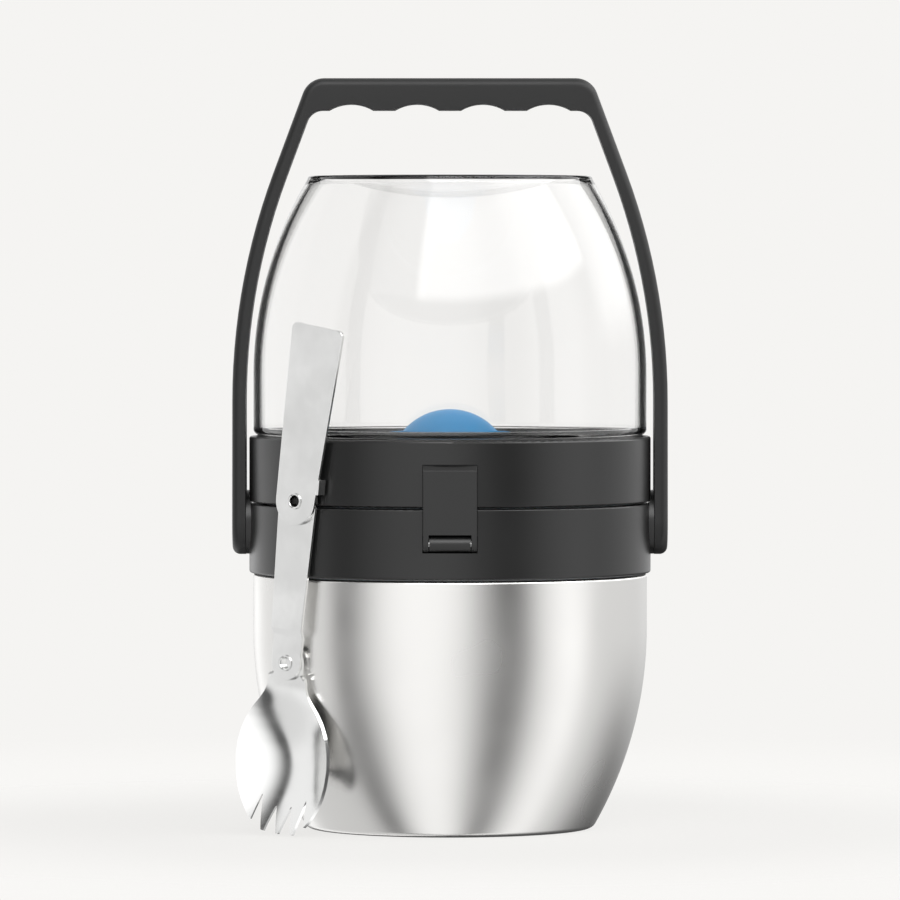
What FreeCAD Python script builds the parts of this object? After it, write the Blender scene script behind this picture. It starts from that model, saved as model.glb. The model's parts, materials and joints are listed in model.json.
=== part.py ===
"""Insulated food jar: a steel vacuum bowl, a hinged lid that carries a clear bowl upside down,
a bail handle and a folding spork.

Frame: millimetres, +Z up, the origin at the centre of the foot on the surface it stands on.
The latch is at the front (-Y), the lid's hinge at the back (+Y), the bail's pivots lie on X.
"""
import FreeCAD, Part
import math
import os
from FreeCAD import Placement, Rotation, Vector

# Steel vacuum bowl
steel_radius = 61.0           # outer radius where the wall is upright
steel_wall = 0.8
belly_height = 62.0           # below this the wall curves in
belly_arc = 123.2             # radius of that curve
foot_fillet = 3.0
foot_curl_width = 2.5         # how far the wall curls in under the foot
foot_recess = 3.0
shoulder_height = 79.0
shoulder_fillet = 1.2
neck_radius = 57.5
rim_height = 99.4
vacuum_gap = 5.4
liner_radius = 54.0           # inside radius of the food space
liner_arc = 112.0
liner_floor = 10.8
liner_fillet = 10.0
plug_radius = 5.0             # disc that seals the evacuation hole
plug_stem_radius = 1.5

# Collar on the steel bowl and ring of the lid
ring_radius = 62.15
collar_bottom = 79.2
collar_top = 100.55
seam_gap = 0.7
lid_ring_height = 20.15
ring_edge = 0.8
collar_bore = 57.7
collar_seal_width = 2.5
collar_seal_height = 0.9
ledge_thickness = 2.0         # ledge in the lid's ring that carries the clear bowl
ledge_inner_radius = 52.0

# Inner lid, its seals and the vent
inner_lid_radius = 57.4
inner_lid_thickness = 2.2
skirt_radius = 53.2
skirt_wall = 1.6
skirt_depth = 7.0
gasket_inner_radius = 54.2
gasket_outer_radius = 57.3
vent_guide_radius = 7.0
vent_guide_height = 3.8
vent_stem_radius = 4.0
running_gap = 0.07
vent_dome_radius = 19.2
vent_dome_top = 129.7
vent_dome_base = 112.0
vent_dome_wall = 1.8
vent_head_radius = 8.0
vent_head_thickness = 1.4
vent_seal_thickness = 1.0
vent_pin_radius = 2.0
vent_pin_reach = 7.0

# Clear bowl, mouth down in the lid's ring
clear_radius = 60.9
clear_wall = 2.4
clear_top = 201.9
clear_top_plate = 1.6
clear_upright_top = 140.0     # above this the wall curves in
clear_arc = 118.5
clear_rim_radius = 44.2
clear_edge = 1.0
punt_radius = 33.3            # dished middle of the top
punt_depth = 5.3
clear_neck_radius = 57.3
clear_neck_wall = 2.4
clear_shoulder_gap = 0.5
clear_shoulder_fillet = 1.7
bowl_seal_thickness = 1.3
bowl_bore_gap = 0.6
lug_count = 4
lug_height = 1.8
lug_reach = 1.3
lug_angle = 18.0
lug_start = 20.0
lug_rise = 2.1                # from the neck's end up to the lugs
lug_play = 0.4
twist_angle = 45.0

# Bail handle
pivot_height = 94.8
boss_radius = 9.9
boss_face = 63.0
boss_lip = 1.4
bail_gap = 0.1
bail_thickness = 4.2
bail_foot_radius = 10.0
bail_half_depth = 8.0
bail_upright_top = 132.0
bail_arc = 203.0
bail_lean = 20.4              # degrees, where the arms run straight to the grip
bail_top = 232.0
grip_underside = 222.1
bail_outer_corner = 7.0
bail_inner_corner = 5.0
grip_edge = 2.4
scallop_count = 4
scallop_pitch = 20.4
scallop_width = 13.6
scallop_depth = 1.9
pin_radius = 3.0
pin_reach = 4.2               # into the collar's boss
pin_head_radius = 5.0
pin_head_thickness = 1.0
cap_radius = 5.2
cap_thickness = 0.8

# Latch
latch_half_width = 8.15
latch_face = 63.2
latch_thickness = 2.6
latch_axis_height = 90.15
latch_barrel = 2.55
latch_top = 113.9
latch_gap = 0.2
latch_knuckle_half_width = 6.25
latch_pin_radius = 1.1
hook_half_width = 5.0
hook_bottom = 108.5
hook_height = 2.0
hook_reach = 1.0

# Lid hinge
hinge_axis_y = 66.0
hinge_barrel = 3.4
hinge_pin_radius = 1.5
hinge_lid_half_width = 8.0
hinge_collar_outer = 15.0
hinge_gap = 0.15

# Folding spork, leaning against the collar at the front left
spork_turn = 37.0             # degrees its face is turned from the front towards the left
spork_standoff = 60.35        # from the jar's axis to the back of the spork's neck
plate_thickness = 1.2
plate_gap = 0.05
lower_hole_u = -15.5          # the lower rivet, along the spork's face
lower_hole_z = 53.2
link_length = 49.8
link_tilt = 6.45
handle_tilt = 9.5
bowl_tilt = 5.8
link_lower_radius = 5.4
link_upper_radius = 7.1
joggle_start = 8.4
joggle_length = 2.0
handle_reach = 53.9
handle_half_width = 9.8
handle_round = 7.35
handle_corner = 2.0
spoon_centre = 30.2           # below the lower rivet
spoon_half_length = 21.0
spoon_half_width = 16.4
spoon_depth = 5.9
spoon_wall = 1.0
neck_half_width = 5.4
neck_flare = 7.2
neck_end = 10.4
tine_spacing = 5.6
tine_tip_half_width = 0.4
middle_notch_start = 44.0
outer_notch_start = 41.3
notch_radius = 0.5
eyelet_radius = 2.0
eyelet_bore = 1.35
eyelet_flange = 2.9
eyelet_flange_thickness = 0.45
stop_height = 4.6
stop_offset = 8.4             # inner face of the stop tab from the link's centre line
stop_start = 3.0              # above the upper rivet
stop_depth = 3.5

# Heights that follow
lid_ring_bottom = collar_top + seam_gap
lid_ring_top = lid_ring_bottom + lid_ring_height
inner_lid_bottom = 101.0
inner_lid_top = inner_lid_bottom + inner_lid_thickness
ledge_top = inner_lid_top + ledge_thickness
clear_neck_bottom = ledge_top + bowl_seal_thickness
clear_shoulder = lid_ring_top + clear_shoulder_gap
lug_bottom = clear_neck_bottom + lug_rise
bowl_bore = clear_neck_radius + bowl_bore_gap
lug_radius = clear_neck_radius + lug_reach
lug_groove = lug_radius + lug_play
bail_inner_face = boss_face + bail_gap
bail_outer_face = bail_inner_face + bail_thickness
latch_axis_y = -(latch_face - latch_barrel)
latch_back = latch_face - latch_thickness

X_AXIS = Vector(1, 0, 0)
Y_AXIS = Vector(0, 1, 0)
Z_AXIS = Vector(0, 0, 1)


class Outline:
    """A closed outline in the XZ plane, drawn from point to point with lines and arcs."""

    def __init__(self, x, z):
        self.start = self.here = Vector(x, 0, z)
        self.edges = []

    def line(self, x, z):
        there = Vector(x, 0, z)
        self.edges.append(Part.LineSegment(self.here, there).toShape())
        self.here = there
        return self

    def arc(self, centre_x, centre_z, radius, middle_deg, end_deg):
        """An arc from the present point to the one at end_deg, by way of middle_deg."""
        middle, there = (
            Vector(centre_x + radius * math.cos(a), 0, centre_z + radius * math.sin(a))
            for a in (math.radians(middle_deg), math.radians(end_deg))
        )
        self.edges.append(Part.Arc(self.here, middle, there).toShape())
        self.here = there
        return self

    def face(self):
        if (self.here - self.start).Length > 1e-6:
            self.line(self.start.x, self.start.z)
        return Part.Face(Part.Wire(self.edges))

    def revolved(self, angle=360.0):
        return self.face().revolve(Vector(0, 0, 0), Z_AXIS, angle)

    def extruded(self, low_y, high_y):
        face = self.face()
        face.translate(Vector(0, low_y, 0))
        return face.extrude(Vector(0, high_y - low_y, 0))


def rod(radius, start, axis, length):
    """A cylinder from start along axis; a negative length runs the other way."""
    if length < 0:
        start, axis, length = start, axis * -1, -length
    return Part.makeCylinder(radius, length, start, axis)


def disc(radius, bottom, top):
    return rod(radius, Vector(0, 0, bottom), Z_AXIS, top - bottom)


def ring(inner, outer, bottom, top):
    return disc(outer, bottom, top).cut(disc(inner, bottom - 1, top + 1))


def block(low, high):
    """A box between two corners."""
    size = [b - a for a, b in zip(low, high)]
    return Part.makeBox(*size, Vector(*low))


def mirrored_x(shape):
    return shape.mirror(Vector(0, 0, 0), X_AXIS)


def sector(inner, outer, bottom, top, middle_deg, width_deg):
    """A piece of a ring, width_deg wide about the direction middle_deg."""
    piece = Outline(inner, bottom).line(outer, bottom).line(outer, top).line(inner, top)
    solid = piece.revolved(width_deg)
    solid.rotate(Vector(0, 0, 0), Z_AXIS, middle_deg - width_deg / 2)
    return solid


def fused(*shapes):
    whole = shapes[0].fuse(list(shapes[1:]))
    return whole.removeSplitter()


# Steel vacuum bowl

def wall_corner(upright, arc, height, floor, fillet):
    """The fillet between a curved wall and a level floor: its centre, and the angle in
    degrees at which it meets the wall's arc."""
    reach = arc - fillet
    drop = height - floor - fillet
    centre_x = upright - arc + math.sqrt(reach ** 2 - drop ** 2)
    return centre_x, floor + fillet, -math.degrees(math.asin(drop / reach))


def make_outer_shell():
    """Thin spun wall: curled foot, curved belly, shoulder and neck."""
    x, z, meet = wall_corner(steel_radius, belly_arc, belly_height, 0, foot_fillet)
    centre = steel_radius - belly_arc
    curl = x - foot_curl_width
    neck_top = rim_height - steel_wall
    inner_neck = neck_radius - steel_wall
    inner_wall = steel_radius - steel_wall
    inner_shoulder = shoulder_fillet - steel_wall
    shoulder = shoulder_height - shoulder_fillet
    outline = Outline(curl, 0).line(x, 0)
    outline.arc(x, z, foot_fillet, (meet - 90) / 2, meet)
    outline.arc(centre, belly_height, belly_arc, meet / 2, 0)
    outline.line(steel_radius, shoulder)
    outline.arc(steel_radius - shoulder_fillet, shoulder, shoulder_fillet, 45, 90)
    outline.line(neck_radius, shoulder_height).line(neck_radius, neck_top)
    outline.line(inner_neck, neck_top).line(inner_neck, shoulder_height - steel_wall)
    outline.line(steel_radius - shoulder_fillet, shoulder_height - steel_wall)
    outline.arc(steel_radius - shoulder_fillet, shoulder, inner_shoulder, 45, 0)
    outline.line(inner_wall, belly_height)
    outline.arc(centre, belly_height, belly_arc - steel_wall, meet / 2, meet)
    outline.arc(x, z, foot_fillet - steel_wall, (meet - 90) / 2, -90)
    outline.line(curl + steel_wall, steel_wall).line(curl + steel_wall, foot_recess)
    outline.line(curl, foot_recess)
    return outline.revolved()


def foot_opening():
    x, _, _ = wall_corner(steel_radius, belly_arc, belly_height, 0, foot_fillet)
    return x - foot_curl_width


def make_base_disc():
    """Disc welded into the foot, with the hole through which the air was drawn out."""
    plate = disc(foot_opening(), foot_recess - steel_wall, foot_recess)
    return plate.cut(disc(plug_stem_radius, 0, foot_recess + 1))


def make_vacuum_plug():
    head = disc(plug_radius, foot_recess, foot_recess + steel_wall)
    return fused(head, disc(plug_stem_radius, foot_recess - steel_wall, foot_recess))


def make_inner_liner():
    """The food space: upright wall, curved bottom and a rim turned out over the neck."""
    x, z, meet = wall_corner(
        liner_radius, liner_arc, belly_height, liner_floor, liner_fillet
    )
    centre = liner_radius - liner_arc
    outer = liner_radius + steel_wall
    neck_top = rim_height - steel_wall
    outline = Outline(0, liner_floor).line(x, liner_floor)
    outline.arc(x, z, liner_fillet, (meet - 90) / 2, meet)
    outline.arc(centre, belly_height, liner_arc, meet / 2, 0)
    outline.line(liner_radius, rim_height).line(neck_radius, rim_height)
    outline.line(neck_radius, neck_top).line(outer, neck_top).line(outer, belly_height)
    outline.arc(centre, belly_height, liner_arc + steel_wall, meet / 2, meet)
    outline.arc(x, z, liner_fillet + steel_wall, (meet - 90) / 2, -90)
    outline.line(0, liner_floor - steel_wall)
    return outline.revolved()


# Collar

def pivot_rod(radius, near, far):
    """A cylinder about the bail's axis on the +X side, between two distances from Z."""
    return rod(radius, Vector(near, 0, pivot_height), X_AXIS, far - near)


def latch_clearance():
    """What the latch's flap and its turning ends need cut out of the two rings."""
    half = latch_half_width + latch_gap
    back = latch_back - latch_gap
    low = latch_axis_height - latch_barrel - latch_gap
    slot = block((-half, -ring_radius - 2, low), (half, -back, latch_top + latch_gap + 0.1))
    turning = rod(
        latch_barrel + latch_gap,
        Vector(-half, latch_axis_y, latch_axis_height), X_AXIS, 2 * half,
    )
    return slot.fuse(turning)


def make_collar():
    """Ring on the steel neck. It carries the bail's bosses, the latch and the lid's hinge."""
    edge = ring_edge
    groove = collar_bore + collar_seal_width
    seal_top = shoulder_height + collar_seal_height
    outline = Outline(groove, collar_bottom).line(ring_radius - edge, collar_bottom)
    outline.arc(ring_radius - edge, collar_bottom + edge, edge, -45, 0)
    outline.line(ring_radius, collar_top - edge / 2)
    outline.arc(ring_radius - edge / 2, collar_top - edge / 2, edge / 2, 45, 90)
    outline.line(collar_bore, collar_top).line(collar_bore, seal_top).line(groove, seal_top)
    body = outline.revolved()

    lip = pivot_rod(boss_radius, boss_face - boss_lip, boss_face)
    root = pivot_rod(boss_radius, collar_bore + 1, boss_face)
    root = root.common(block((0, -50, 0), (100, 50, collar_top)))
    for boss in (lip, root):
        body = body.fuse(boss).fuse(mirrored_x(boss))
    hole = pivot_rod(pin_radius, boss_face - pin_reach, boss_face + 1)
    body = body.cut(hole).cut(mirrored_x(hole))

    body = body.cut(latch_clearance())
    knuckle = rod(
        latch_barrel,
        Vector(-latch_knuckle_half_width, latch_axis_y, latch_axis_height),
        X_AXIS, 2 * latch_knuckle_half_width,
    )
    web = block(
        (-latch_knuckle_half_width, latch_axis_y, latch_axis_height - latch_barrel),
        (latch_knuckle_half_width, -collar_bore - 0.3, latch_axis_height + latch_barrel),
    )
    body = body.fuse(knuckle).fuse(web)
    latch_bore = rod(
        latch_pin_radius,
        Vector(-latch_half_width, latch_axis_y, latch_axis_height),
        X_AXIS, 2 * latch_half_width,
    )
    body = body.cut(latch_bore)

    for side in (1, -1):
        inner, outer = hinge_lid_half_width + hinge_gap, hinge_collar_outer
        low, high = sorted((side * inner, side * outer))
        barrel = rod(hinge_barrel, Vector(low, hinge_axis_y, hinge_height()), X_AXIS, high - low)
        web = block(
            (low, ring_radius - 3.5, hinge_height() - 2 * hinge_barrel),
            (high, hinge_axis_y, collar_top),
        )
        ear = barrel.fuse(web)
        bore = rod(hinge_pin_radius, Vector(low - 1, hinge_axis_y, hinge_height()), X_AXIS, 20)
        body = body.fuse(ear).cut(bore)
    return body.removeSplitter()


def hinge_height():
    return (collar_top + lid_ring_bottom) / 2


def make_collar_seal():
    return ring(
        collar_bore, collar_bore + collar_seal_width,
        shoulder_height, shoulder_height + collar_seal_height,
    )


def make_hinge_pin():
    start = Vector(-hinge_collar_outer, hinge_axis_y, hinge_height())
    return rod(hinge_pin_radius, start, X_AXIS, 2 * hinge_collar_outer)


def make_latch_pin():
    start = Vector(-latch_half_width, latch_axis_y, latch_axis_height)
    return rod(latch_pin_radius, start, X_AXIS, 2 * latch_half_width)


def make_bail_pins():
    """Two headed pins, fast in the collar's bosses; the bail turns on them."""
    head_start = bail_outer_face - cap_thickness - bail_gap - pin_head_thickness
    shank = pivot_rod(pin_radius, boss_face - pin_reach, head_start)
    head = pivot_rod(pin_head_radius, head_start, head_start + pin_head_thickness)
    pin = fused(shank, head)
    return Part.makeCompound([pin, mirrored_x(pin)])


# Lid

def make_lid_ring():
    """Ring that the clear bowl locks into, hinged to the collar at the back."""
    edge = ring_edge
    recess = inner_lid_radius + 0.2
    outline = Outline(recess, lid_ring_bottom)
    outline.line(ring_radius - edge / 2, lid_ring_bottom)
    outline.arc(ring_radius - edge / 2, lid_ring_bottom + edge / 2, edge / 2, -45, 0)
    outline.line(ring_radius, lid_ring_top - edge)
    outline.arc(ring_radius - edge, lid_ring_top - edge, edge, 45, 90)
    outline.line(bowl_bore, lid_ring_top).line(bowl_bore, lug_bottom + lug_height + lug_play)
    outline.line(lug_groove, lug_bottom + lug_height + lug_play)
    outline.line(lug_groove, lug_bottom - lug_play).line(bowl_bore, lug_bottom - lug_play)
    outline.line(bowl_bore, ledge_top).line(ledge_inner_radius, ledge_top)
    outline.line(ledge_inner_radius, inner_lid_top).line(recess, inner_lid_top)
    body = outline.revolved()
    for i in range(lug_count):
        middle = lug_start + twist_angle + i * 360 / lug_count
        entry = sector(
            bowl_bore - 0.5, lug_groove, lug_bottom - lug_play, lid_ring_top + 1,
            middle, lug_angle + 6,
        )
        body = body.cut(entry)

    relief = pivot_rod(boss_radius + 0.5, boss_face - boss_lip - 0.3, boss_face + 1)
    body = body.cut(relief).cut(mirrored_x(relief))

    body = body.cut(latch_clearance())
    half = hook_half_width + latch_gap
    hook_room = block(
        (-half, -ring_radius, hook_bottom - latch_gap),
        (half, -(latch_back - hook_reach - latch_gap), hook_bottom + hook_height + 1.5),
    )
    body = body.cut(hook_room)

    knuckle = rod(
        hinge_barrel, Vector(-hinge_lid_half_width, hinge_axis_y, hinge_height()),
        X_AXIS, 2 * hinge_lid_half_width,
    )
    web = block(
        (-hinge_lid_half_width, ring_radius - 3.0, lid_ring_bottom),
        (hinge_lid_half_width, hinge_axis_y + hinge_barrel, hinge_height() + 2 * hinge_barrel),
    )
    web = web.common(rod(
        2 * hinge_barrel, Vector(-hinge_lid_half_width, hinge_axis_y - hinge_barrel, hinge_height()),
        X_AXIS, 2 * hinge_lid_half_width,
    ))
    bore = rod(
        hinge_pin_radius + running_gap, Vector(-20, hinge_axis_y, hinge_height()), X_AXIS, 40
    )
    return body.fuse(knuckle).fuse(web).cut(bore).removeSplitter()


def make_inner_lid():
    """Plate that closes the food space, with a skirt inside the mouth and the vent's guide."""
    hole = vent_stem_radius + running_gap
    plate = disc(inner_lid_radius, inner_lid_bottom, inner_lid_top)
    skirt = ring(
        skirt_radius - skirt_wall, skirt_radius, inner_lid_bottom - skirt_depth, inner_lid_bottom
    )
    guide = disc(vent_guide_radius, inner_lid_top, inner_lid_top + vent_guide_height)
    return fused(plate, skirt, guide).cut(disc(hole, inner_lid_bottom - 1, vent_dome_base))


def make_lid_gasket():
    return ring(gasket_inner_radius, gasket_outer_radius, rim_height, inner_lid_bottom)


def make_bowl_gasket():
    inner = clear_neck_radius - clear_neck_wall
    return ring(inner, clear_neck_radius, ledge_top, clear_neck_bottom)


def make_vent_button():
    """Dome on a stem: pressing it opens the valve under the inner lid."""
    centre = Vector(0, 0, vent_dome_top - vent_dome_radius)
    dome = Part.makeSphere(vent_dome_radius, centre)
    dome = dome.cut(Part.makeSphere(vent_dome_radius - vent_dome_wall, centre))
    dome = dome.cut(disc(vent_dome_radius + 1, 0, vent_dome_base))
    stem = disc(vent_stem_radius, inner_lid_bottom, vent_dome_top - vent_dome_wall / 2)
    bore = disc(vent_pin_radius, inner_lid_bottom - 1, inner_lid_bottom + vent_pin_reach)
    return fused(dome, stem).cut(bore)


def make_vent_valve():
    head_top = inner_lid_bottom - vent_seal_thickness
    head = disc(vent_head_radius, head_top - vent_head_thickness, head_top)
    return fused(head, disc(vent_pin_radius, head_top, inner_lid_bottom + vent_pin_reach))


def make_vent_seal():
    return ring(
        vent_pin_radius, vent_head_radius,
        inner_lid_bottom - vent_seal_thickness, inner_lid_bottom,
    )


# Clear bowl

def make_clear_bowl():
    """Bowl with its mouth down: a neck with bayonet lugs, a curved wall and a dished top."""
    centre = clear_radius - clear_arc
    rise = clear_top - clear_edge - clear_upright_top
    meet = math.degrees(math.asin(rise / clear_arc))
    rim = centre + clear_arc * math.cos(math.radians(meet))
    inner_arc = clear_arc - clear_wall
    ceiling = clear_top - clear_top_plate
    inner_meet = math.degrees(math.asin((ceiling - clear_upright_top) / inner_arc))
    inner_neck = clear_neck_radius - clear_neck_wall
    inner_wall = clear_radius - clear_wall
    shoulder = clear_shoulder + clear_shoulder_fillet
    dish = (punt_radius ** 2 + punt_depth ** 2) / (2 * punt_depth)
    dish_centre = clear_top + dish - punt_depth
    dish_side = -math.degrees(math.acos(punt_radius / dish))
    inner_dish = dish + clear_top_plate
    under_side = -math.degrees(math.asin((dish_centre - ceiling) / inner_dish))

    outline = Outline(inner_neck, clear_neck_bottom)
    outline.line(clear_neck_radius, clear_neck_bottom)
    outline.line(clear_neck_radius, clear_shoulder)
    outline.line(clear_radius - clear_shoulder_fillet, clear_shoulder)
    outline.arc(clear_radius - clear_shoulder_fillet, shoulder, clear_shoulder_fillet, -45, 0)
    outline.line(clear_radius, clear_upright_top)
    outline.arc(centre, clear_upright_top, clear_arc, meet / 2, meet)
    outline.arc(rim - clear_edge, clear_top - clear_edge, clear_edge, 45, 90)
    outline.line(punt_radius, clear_top)
    outline.arc(0, dish_centre, dish, (dish_side - 90) / 2, -90)
    outline.line(0, clear_top - punt_depth - clear_top_plate)
    outline.arc(0, dish_centre, inner_dish, (under_side - 90) / 2, under_side)
    outline.line(centre + inner_arc * math.cos(math.radians(inner_meet)), ceiling)
    outline.arc(centre, clear_upright_top, inner_arc, inner_meet / 2, 0)
    outline.line(inner_wall, shoulder + clear_wall)
    outline.line(inner_neck, shoulder - clear_shoulder_fillet)
    body = outline.revolved()
    for i in range(lug_count):
        lug = sector(
            clear_neck_radius - 0.5, lug_radius, lug_bottom, lug_bottom + lug_height,
            lug_start + i * 360 / lug_count, lug_angle,
        )
        body = body.fuse(lug)
    return body.removeSplitter()


# Bail handle

def bail_arch():
    """The bail seen from the front: upright feet, arms that curve in, and a level grip."""
    centre_x = bail_outer_face - bail_arc
    lean = math.radians(bail_lean)
    bend_x = centre_x + bail_arc * math.cos(lean)
    bend_z = bail_upright_top + bail_arc * math.sin(lean)
    inner_arc = bail_arc - bail_thickness
    inner_x = centre_x + inner_arc * math.cos(lean)
    inner_z = bail_upright_top + inner_arc * math.sin(lean)
    corner_x = bend_x - (bail_top - bend_z) * math.tan(lean)
    inner_corner_x = inner_x - (grip_underside - inner_z) * math.tan(lean)
    foot = pivot_height - bail_foot_radius - 1
    mirror = lambda a: 180 - a
    outline = Outline(bail_outer_face, foot).line(bail_outer_face, bail_upright_top)
    outline.arc(centre_x, bail_upright_top, bail_arc, bail_lean / 2, bail_lean)
    outline.line(corner_x, bail_top).line(-corner_x, bail_top).line(-bend_x, bend_z)
    outline.arc(-centre_x, bail_upright_top, bail_arc, mirror(bail_lean / 2), 180)
    outline.line(-bail_outer_face, foot).line(-bail_inner_face, foot)
    outline.line(-bail_inner_face, bail_upright_top)
    outline.arc(-centre_x, bail_upright_top, inner_arc, mirror(bail_lean / 2), mirror(bail_lean))
    outline.line(-inner_corner_x, grip_underside).line(inner_corner_x, grip_underside)
    outline.line(inner_x, inner_z)
    outline.arc(centre_x, bail_upright_top, inner_arc, bail_lean / 2, 0)
    outline.line(bail_inner_face, foot)
    depth = bail_foot_radius + 1
    arch = outline.extruded(-depth, depth)
    for x, z, radius in (
        (corner_x, bail_top, bail_outer_corner),
        (inner_corner_x, grip_underside, bail_inner_corner),
    ):
        corners = [
            e for e in arch.Edges
            if e.Length > depth and abs(abs(e.CenterOfMass.x) - x) < 0.01
            and abs(e.CenterOfMass.z - z) < 0.01
        ]
        arch = arch.makeFillet(radius, corners)
    return arch


def bail_side():
    """The bail seen from the side: round feet that narrow to the arms' width."""
    reach = bail_upright_top - pivot_height
    away = math.atan2(bail_half_depth, reach)
    span = math.hypot(bail_half_depth, reach)
    tangent = away + math.acos(bail_foot_radius / span)
    touch_y = bail_foot_radius * math.sin(tangent)
    touch_z = pivot_height + bail_foot_radius * math.cos(tangent)
    top = bail_top + 1
    points = [
        Vector(0, y, z) for y, z in (
            (touch_y, touch_z), (bail_half_depth, bail_upright_top), (bail_half_depth, top),
            (-bail_half_depth, top), (-bail_half_depth, bail_upright_top), (-touch_y, touch_z),
        )
    ]
    edges = [Part.LineSegment(a, b).toShape() for a, b in zip(points, points[1:])]
    bottom = Vector(0, 0, pivot_height - bail_foot_radius)
    edges.append(Part.Arc(points[-1], bottom, points[0]).toShape())
    face = Part.Face(Part.Wire(edges))
    width = bail_outer_face + 1
    face.translate(Vector(-width, 0, 0))
    return face.extrude(Vector(2 * width, 0, 0))


def make_bail_handle():
    """Bail with finger scallops under its grip, a bore in each foot and a recess for the cap."""
    body = bail_arch().common(bail_side())
    top_edges = [
        e for e in body.Edges
        if abs(abs(e.CenterOfMass.y) - bail_half_depth) < 0.01
        and abs(e.CenterOfMass.z - bail_top) < 0.01
    ]
    body = body.makeFillet(grip_edge, top_edges)
    half = scallop_width / 2
    radius = (half ** 2 + scallop_depth ** 2) / (2 * scallop_depth)
    for i in range(scallop_count):
        x = (i - (scallop_count - 1) / 2) * scallop_pitch
        centre = Vector(x, -20, grip_underside + scallop_depth - radius)
        body = body.cut(rod(radius, centre, Y_AXIS, 40))
    head_seat = bail_outer_face - cap_thickness - bail_gap - pin_head_thickness - bail_gap
    bore = pivot_rod(pin_radius + running_gap, bail_inner_face - 1, bail_outer_face)
    seat = pivot_rod(cap_radius, head_seat, bail_outer_face + 1)
    for hole in (bore, seat):
        body = body.cut(hole).cut(mirrored_x(hole))
    return body


def make_bail_caps():
    cap = pivot_rod(cap_radius, bail_outer_face - cap_thickness, bail_outer_face)
    return Part.makeCompound([cap, mirrored_x(cap)])


# Latch

def make_latch_flap():
    """Flap with two ears about the collar's knuckle and a hook behind its top."""
    half, axis_z = latch_half_width, latch_axis_height
    bevel = latch_thickness * 0.6
    plate = block((-half, -latch_face, axis_z), (half, -latch_back, latch_top))
    lip_edges = [
        e for e in plate.Edges
        if abs(e.CenterOfMass.y + latch_face) < 0.01 and abs(e.CenterOfMass.z - latch_top) < 0.01
    ]
    plate = plate.makeChamfer(bevel, lip_edges)
    ears = rod(latch_barrel, Vector(-half, latch_axis_y, axis_z), X_AXIS, 2 * half)
    hook = block(
        (-hook_half_width, -latch_back - 0.5, hook_bottom),
        (hook_half_width, -latch_back + hook_reach, hook_bottom + hook_height),
    )
    room = latch_knuckle_half_width + latch_gap
    window = block(
        (-room, -latch_face - 1, axis_z - latch_barrel - 1),
        (room, -latch_back + 5, axis_z + latch_barrel + latch_gap),
    )
    bore = rod(
        latch_pin_radius + running_gap, Vector(-half - 1, latch_axis_y, axis_z), X_AXIS, 2 * half + 2
    )
    return plate.fuse(ears).fuse(hook).cut(window).cut(bore).removeSplitter()


# Spork: each piece is drawn facing the front, with its rivet at the origin

def turned_hull(lower_radius, upper_radius, length):
    """Outline round two circles, the lower at the origin, the upper at height length."""
    lean = math.degrees(math.asin((upper_radius - lower_radius) / length))
    right, left = -lean, 180 + lean
    start = math.radians(right)
    outline = Outline(
        upper_radius * math.cos(start), length + upper_radius * math.sin(start)
    )
    outline.arc(0, length, upper_radius, 90, left)
    end = math.radians(left)
    outline.line(lower_radius * math.cos(end), lower_radius * math.sin(end))
    outline.arc(0, 0, lower_radius, 270, 360 + right)
    return outline


def at_depth(outline, back, front):
    """An outline made a plate between two distances in front of the neck's back face."""
    return outline.extruded(-front, -back)


def hole_through(radius, height):
    return rod(radius, Vector(0, 20, height), Y_AXIS, -60)


def set_in_place(shape, tilt, u, z):
    """Tilt a spork piece about its rivet, set it on the spork's plane and turn that plane."""
    shape.rotate(Vector(0, 0, 0), Y_AXIS, tilt)
    shape.translate(Vector(u, -spork_standoff, z))
    shape.rotate(Vector(0, 0, 0), Z_AXIS, -spork_turn)
    return shape


def link_planes():
    """Back faces of the link's lower end, its upper part and the handle."""
    lower = plate_thickness + plate_gap
    upper = lower + plate_thickness + plate_gap
    return lower, upper, upper + plate_thickness + plate_gap


def upper_rivet_place():
    lean = math.radians(link_tilt)
    u = lower_hole_u + link_length * math.sin(lean)
    return u, lower_hole_z + link_length * math.cos(lean)


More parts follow.
